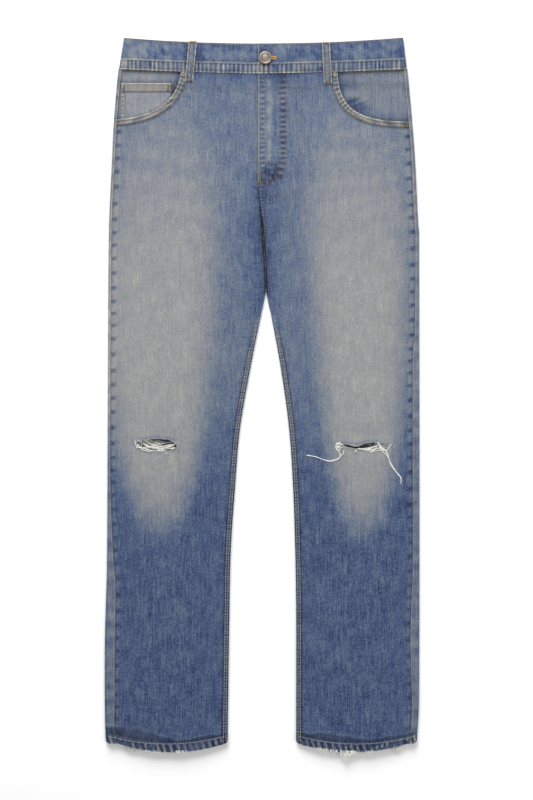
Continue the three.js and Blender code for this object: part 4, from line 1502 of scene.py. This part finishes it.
def button():
    foot = BAND_HEIGHT + GAP
    seat = BAND_HEIGHT + OVERLAP + GAP
    return turned("shank_button", [
        (0, foot), (2.2, foot), (2.2, seat), (8.2, seat), (9.1, seat + 0.35), (9.5, seat + 1.0),
        (9.45, seat + 1.9), (9.0, seat + 2.6), (8.3, seat + 2.95), (7.6, seat + 2.85),
        (7.1, seat + 2.4), (6.7, seat + 2.3), (6.3, seat + 2.6), (5.9, seat + 2.62),
        (5.5, seat + 2.3), (5.0, seat + 2.25), (4.6, seat + 2.5), (4.1, seat + 2.75),
        (3.2, seat + 2.95), (2.6, seat + 2.95), (2.3, seat + 2.8), (1.9, seat + 2.8),
        (1.5, seat + 3.05), (0, seat + 3.15),
    ], BUTTON_X, BUTTON_Y, 72, dark_rings=[(1.8, 2.5), (4.3, 5.4), (6.4, 7.4)])


def rivet(side, ground):
    x, y = RIVET[side]
    base = lying_height(ground, x, y)
    # the inner dark ring is tarnish in the cap's hollow; the outer one is painted shade on the rim's outer
    # side
    return turned(f"rivet_cap_{SIDE_NAMES[side]}", [
        (0, base - 0.2), (3.0, base - 0.2), (3.2, base + 0.25), (3.05, base + 0.7),
        (2.6, base + 1.0), (2.0, base + 1.0), (1.6, base + 0.75), (1.35, base + 0.3),
        (0.6, base + 0.25), (0, base + 0.4),
    ], x, y, 40, dark_rings=[(0.0, 2.05), (2.9, 3.3)])


# ---------------------------------------------------------------- materials

def srgb(red, green, blue):
    """Linear colour from 0 to 255 screen values."""
    values = np.array([red, green, blue]) / 255
    linear = np.where(values <= 0.04045, values / 12.92, ((values + 0.055) / 1.055) ** 2.4)
    return (*linear.tolist(), 1.0)


class Nodes:
    """Short calls for building one material's node tree."""

    def __init__(self, name):
        self.material = bpy.data.materials.new(name)
        self.material.use_nodes = True
        self.tree = self.material.node_tree
        self.shader = self.tree.nodes["Principled BSDF"]

    def add(self, kind, **settings):
        node = self.tree.nodes.new(kind)
        for key, value in settings.items():
            setattr(node, key, value)
        return node

    def link(self, source, target):
        self.tree.links.new(source, target)

    def math(self, operation, a, b=None, c=None):
        node = self.add("ShaderNodeMath", operation=operation)
        for socket, value in zip(node.inputs, (a, b, c)):
            if value is None:
                continue
            if isinstance(value, (int, float)):
                socket.default_value = value
            else:
                self.link(value, socket)
        return node.outputs[0]

    def stretched(self, scale):
        """Object coordinates in metres, scaled to cycles per metre."""
        coordinates = self.add("ShaderNodeTexCoord").outputs["Object"]
        mapping = self.add("ShaderNodeMapping")
        mapping.inputs["Scale"].default_value = scale
        self.link(coordinates, mapping.inputs["Vector"])
        return mapping.outputs[0]

    def noise(self, scale, detail=3.0, roughness=0.55):
        node = self.add("ShaderNodeTexNoise")
        node.inputs["Scale"].default_value = 1.0
        node.inputs["Detail"].default_value = detail
        node.inputs["Roughness"].default_value = roughness
        self.link(self.stretched(scale), node.inputs["Vector"])
        return self.math("SUBTRACT", node.outputs["Fac"], 0.5)

    def mixed(self, amount, first, second):
        """The first colour where the amount is 0 and the second where it is 1."""
        node = self.add("ShaderNodeMix", data_type="RGBA")
        self.link(amount, node.inputs[0])
        for socket, colour in zip((node.inputs[6], node.inputs[7]), (first, second)):
            if isinstance(colour, tuple):
                socket.default_value = colour
            else:
                self.link(colour, socket)
        return node.outputs[2]

    def raise_surface(self, height, strength, distance):
        bump = self.add("ShaderNodeBump")
        bump.inputs["Strength"].default_value = strength
        bump.inputs["Distance"].default_value = distance
        self.link(height, bump.inputs["Height"])
        self.link(bump.outputs[0], self.shader.inputs["Normal"])


# Screen colours are scaled by this to the colours of the cloth under the stage's lights.
DYE_DEPTH = 0.84


def denim_material():
    """Indigo twill: the wear_and_shade attribute sets its fading, dirt and painted shade, and yarn, slub and
    mottle break it up.
    """
    n = Nodes("denim")
    wear_and_shade = n.add("ShaderNodeAttribute", attribute_name="wear_and_shade")
    parts = n.add("ShaderNodeSeparateColor")
    n.link(wear_and_shade.outputs["Color"], parts.inputs[0])
    fade = n.math("MULTIPLY", parts.outputs[0], 2.0)
    slub = n.noise((620, 26, 200), 2.5)
    fine_slub = n.noise((1500, 120, 400), 2.0)
    mottle = n.noise((75, 60, 60), 4.0, 0.6)
    grain = n.noise((400, 340, 400), 3.0, 0.65)
    variation = n.math("MULTIPLY", slub, 0.9)
    variation = n.math("MULTIPLY_ADD", fine_slub, 0.45, variation)
    variation = n.math("MULTIPLY_ADD", mottle, 0.62, variation)
    variation = n.math("MULTIPLY_ADD", grain, 1.2, variation)
    # cloth that is nearly all worn away to its weft shows less of it
    variation = n.math("MULTIPLY", variation, n.math("MULTIPLY_ADD", fade, -0.5, 1.1))
    fade = n.math("ADD", fade, variation)
    position = n.math("MULTIPLY_ADD", fade, 0.5, 0.15)
    ramp = n.add("ShaderNodeValToRGB")
    stops = [
        (0.0, srgb(44, 55, 92)), (0.15, srgb(69, 87, 125)), (0.33, srgb(104, 117, 138)),
        (0.48, srgb(132, 137, 146)), (0.65, srgb(157, 157, 156)), (0.86, srgb(194, 194, 188)),
        (1.0, srgb(228, 226, 216)),
    ]
    while len(ramp.color_ramp.elements) < len(stops):
        ramp.color_ramp.elements.new(0.5)
    for element, (at, colour) in zip(ramp.color_ramp.elements, stops):
        element.position = at
        element.color = (*(DYE_DEPTH * channel for channel in colour[:3]), 1.0)
    n.link(position, ramp.inputs[0])
    tinted = n.mixed(parts.outputs[2], ramp.outputs[0], srgb(134, 116, 84))
    # the attribute's second channel is painted shade, scaled into the colour
    shade = n.math("MULTIPLY", parts.outputs[1], 2.0)
    darkened = n.add("ShaderNodeVectorMath", operation="SCALE")
    n.link(tinted, darkened.inputs[0])
    n.link(shade, darkened.inputs["Scale"])
    n.link(darkened.outputs[0], n.shader.inputs["Base Color"])
    n.shader.inputs["Roughness"].default_value = 0.88
    n.shader.inputs["Specular IOR Level"].default_value = 0.22
    n.shader.inputs["Sheen Weight"].default_value = 0.12
    n.shader.inputs["Sheen Roughness"].default_value = 0.5
    twill_line = n.add("ShaderNodeVectorMath", operation="DOT_PRODUCT")
    n.link(n.stretched((1, 1, 1)), twill_line.inputs[0])
    twill_line.inputs[1].default_value = (5200, 3900, 0)
    twill = n.math("SINE", twill_line.outputs["Value"])
    relief = n.math("MULTIPLY", twill, 0.10)
    relief = n.math("MULTIPLY_ADD", fine_slub, 0.5, relief)
    relief = n.math("MULTIPLY_ADD", slub, 0.35, relief)
    relief = n.math("MULTIPLY_ADD", grain, 0.35, relief)
    n.raise_surface(relief, strength=0.6, distance=0.0006)
    return n.material


def thread_material(name, colour, pale):
    """Twisted thread, rubbed pale in places."""
    n = Nodes(name)
    amount = n.math("MULTIPLY_ADD", n.noise((150, 150, 150), 3.0), 1.6, 0.45)
    n.link(n.mixed(amount, colour, pale), n.shader.inputs["Base Color"])
    n.shader.inputs["Roughness"].default_value = 0.75
    twist = n.noise((2600, 2600, 2600), 1.0)
    n.raise_surface(twist, strength=0.5, distance=0.0002)
    return n.material


def metal_material(name, colour, dull):
    """Dulled brass: dark in its hollows by patches of tarnish."""
    n = Nodes(name)
    tarnish = n.math("MULTIPLY_ADD", n.noise((420, 420, 420), 4.0, 0.65), 2.2, 0.35)
    n.link(n.mixed(tarnish, colour, dull), n.shader.inputs["Base Color"])
    n.shader.inputs["Metallic"].default_value = 0.6
    n.link(n.math("MULTIPLY_ADD", tarnish, 0.15, 0.45), n.shader.inputs["Roughness"])
    return n.material


def floor_material():
    n = Nodes("pale_floor")
    tone = n.mixed(n.math("ADD", n.noise((6, 6, 6)), 0.5), (0.96, 0.96, 0.96, 1), (0.98, 0.98, 0.98, 1))
    n.link(tone, n.shader.inputs["Base Color"])
    n.shader.inputs["Roughness"].default_value = 0.9
    n.shader.inputs["Specular IOR Level"].default_value = 0.0
    return n.material


# ---------------------------------------------------------------- stage

VIEW_CENTRE = (0.00675, -0.0075)


def stage():
    """A pale floor, a soft light from beyond the waist, a fill, and the camera straight above."""
    half, top = 4.0, -0.0005
    corners = [(-half, -half, top), (half, -half, top), (half, half, top), (-half, half, top)]
    floor = make_mesh("floor", np.array(corners) / MM, [(0, 1, 2, 3)], sharp_degrees=0)
    floor.data.materials.append(floor_material())

    scene = bpy.context.scene
    scene.view_settings.view_transform = "Standard"
    world = bpy.data.worlds.new("studio")
    world.use_nodes = True
    background = world.node_tree.nodes["Background"]
    background.inputs["Color"].default_value = (1, 1, 1, 1)
    background.inputs["Strength"].default_value = 0.36
    scene.world = world

    soft_light("key_light", (-0.6, 3.3, 1.9), 2.8, 215)
    soft_light("fill_light", (1.6, -1.2, 2.6), 2.4, 30)

    camera = bpy.data.objects.new("camera", bpy.data.cameras.new("camera"))
    distance = 6.0
    view_height = 1.2
    camera.data.sensor_width = 36
    camera.data.lens = 36 * distance / view_height
    camera.data.clip_end = 50
    camera.location = (*VIEW_CENTRE, distance)
    bpy.context.collection.objects.link(camera)
    scene.camera = camera


def soft_light(name, place, size, power):
    light = bpy.data.lights.new(name, "AREA")
    light.shape = "DISK"
    light.size = size
    light.energy = power
    ob = bpy.data.objects.new(name, light)
    ob.location = place
    toward = -np.array(place)
    ob.rotation_euler = (
        math.acos(-toward[2] / np.linalg.norm(toward)), 0, math.atan2(toward[1], toward[0]) - math.pi / 2,
    )
    bpy.context.collection.objects.link(ob)


# ---------------------------------------------------------------- the garment

def declare(ob, nodes, with_pieces=()):
    """Attaches a cloth piece to the root and hides the model's parts that it stands for."""
    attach(ob, "root")
    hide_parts(*nodes)
    list(with_pieces)


def trim(ob, nodes=()):
    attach(ob, "root")
    if nodes:
        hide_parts(*nodes)


# Each thread's screen colour, and its colour where it is rubbed
THREAD_COLOURS = {
    "thread_tonal": ((86, 92, 106), (156, 156, 150)),
    "thread_tan": ((96, 86, 62), (160, 150, 122)),
    "thread_pale": ((116, 122, 134), (182, 182, 176)),
    "thread_rust": ((96, 56, 52), (150, 112, 98)),
    "thread_gold": ((92, 78, 46), (132, 117, 80)),
    "thread_orange": ((176, 122, 58), (206, 164, 104)),
    "bare_weft": ((226, 225, 216), (250, 250, 245)),
    "bare_warp": ((84, 98, 128), (150, 156, 164)),
    "zip_tape": ((60, 66, 80), (96, 100, 110)),
}


def build():
    denim = denim_material()
    thread = {
        name: thread_material(name, srgb(*colour), srgb(*rubbed))
        for name, (colour, rubbed) in THREAD_COLOURS.items()
    }
    metal = metal_material("old_brass", srgb(178, 170, 156), srgb(124, 114, 100))
    # the second brass: tarnish in hollows, and painted shade on the rivets' rims
    tarnish = metal_material("tarnished_and_shaded_brass", srgb(112, 102, 90), srgb(70, 64, 58))

    cloth = {}
    for side in SIDES:
        name = SIDE_NAMES[side]
        cloth[f"front_panel_{name}"] = front_panel(side)
        cloth[f"back_panel_{name}"] = back_panel(side)
        cloth[f"yoke_{name}"] = yoke(side)
        cloth[f"pocket_facing_{name}"] = pocket_facing(side)
        cloth[f"back_pocket_{name}"] = back_pocket(side)
        cloth[f"belt_loop_front_{name}"] = belt_loop(side)
        cloth[f"belt_loop_back_{name}"] = back_loop(name, side * BACK_LOOP_X)
    cloth["belt_loop_back_centre"] = back_loop("centre", 0)
    cloth["coin_pocket"] = coin_pocket()
    cloth["waistband"] = waistband()
    for ob in cloth.values():
        ob.data.materials.append(denim)

    ground = Ground(cloth.values())
    tonal, gold, weft = thread["thread_tonal"], thread["thread_gold"], thread["bare_weft"]
    fly_rows = [fly_curve(29.2), fly_curve(34.0)]
    threads = [
        stitching("stitches_front", tonal_rows(), tonal, ground),
        stitching("stitches_tan", tan_rows(), thread["thread_tan"], ground, 3.0, 0.4),
        stitching("stitches_pale", pale_rows(), thread["thread_pale"], ground, 4.3, 0.5),
        stitching("stitches_back", back_rows(), tonal, ground, 3.4, 0.3, False),
        stitching("stitches_fly", fly_rows, thread["thread_rust"], ground),
        thread_piece("bartacks_front", *capsules(*front_bartacks(ground), 0.34), gold),
        thread_piece("bartacks_back", *capsules(*back_bartacks(ground), 0.3), gold),
        thread_piece("buttonhole_thread", *capsules(*buttonhole(), 0.34), thread["thread_orange"]),
    ]
    yarns_right = yarn_piece("knee_yarns_right", KNEE_YARNS_RIGHT, ground, 5, weft)
    yarns_left = yarn_piece("knee_yarns_left", KNEE_YARNS_LEFT, ground, 9, weft)
    frays = hem_tufts(ground, weft)
    warp = {side: warp_frays(side, ground, thread["bare_warp"]) for side in SIDES}
    for ob in threads + [yarns_right, yarns_left, frays, *warp.values()]:
        trim(ob)

    brass = {"button": button()}
    for side in SIDES:
        brass[f"rivet_{SIDE_NAMES[side]}"] = rivet(side, ground)
    for node, ob in brass.items():
        ob.data.materials.append(metal)
        ob.data.materials.append(tarnish)
        trim(ob, [node])
    zip_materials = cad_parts["fly_zip"].data.materials
    zip_materials.clear()
    zip_materials.append(thread["zip_tape"])

    held_by = {
        "front_panel_right": [yarns_right, warp[RIGHT]],
        "front_panel_left": [yarns_left, frays, warp[LEFT]],
    }
    for node, ob in cloth.items():
        declare(ob, [node], held_by.get(node, ()))


stage()
build()
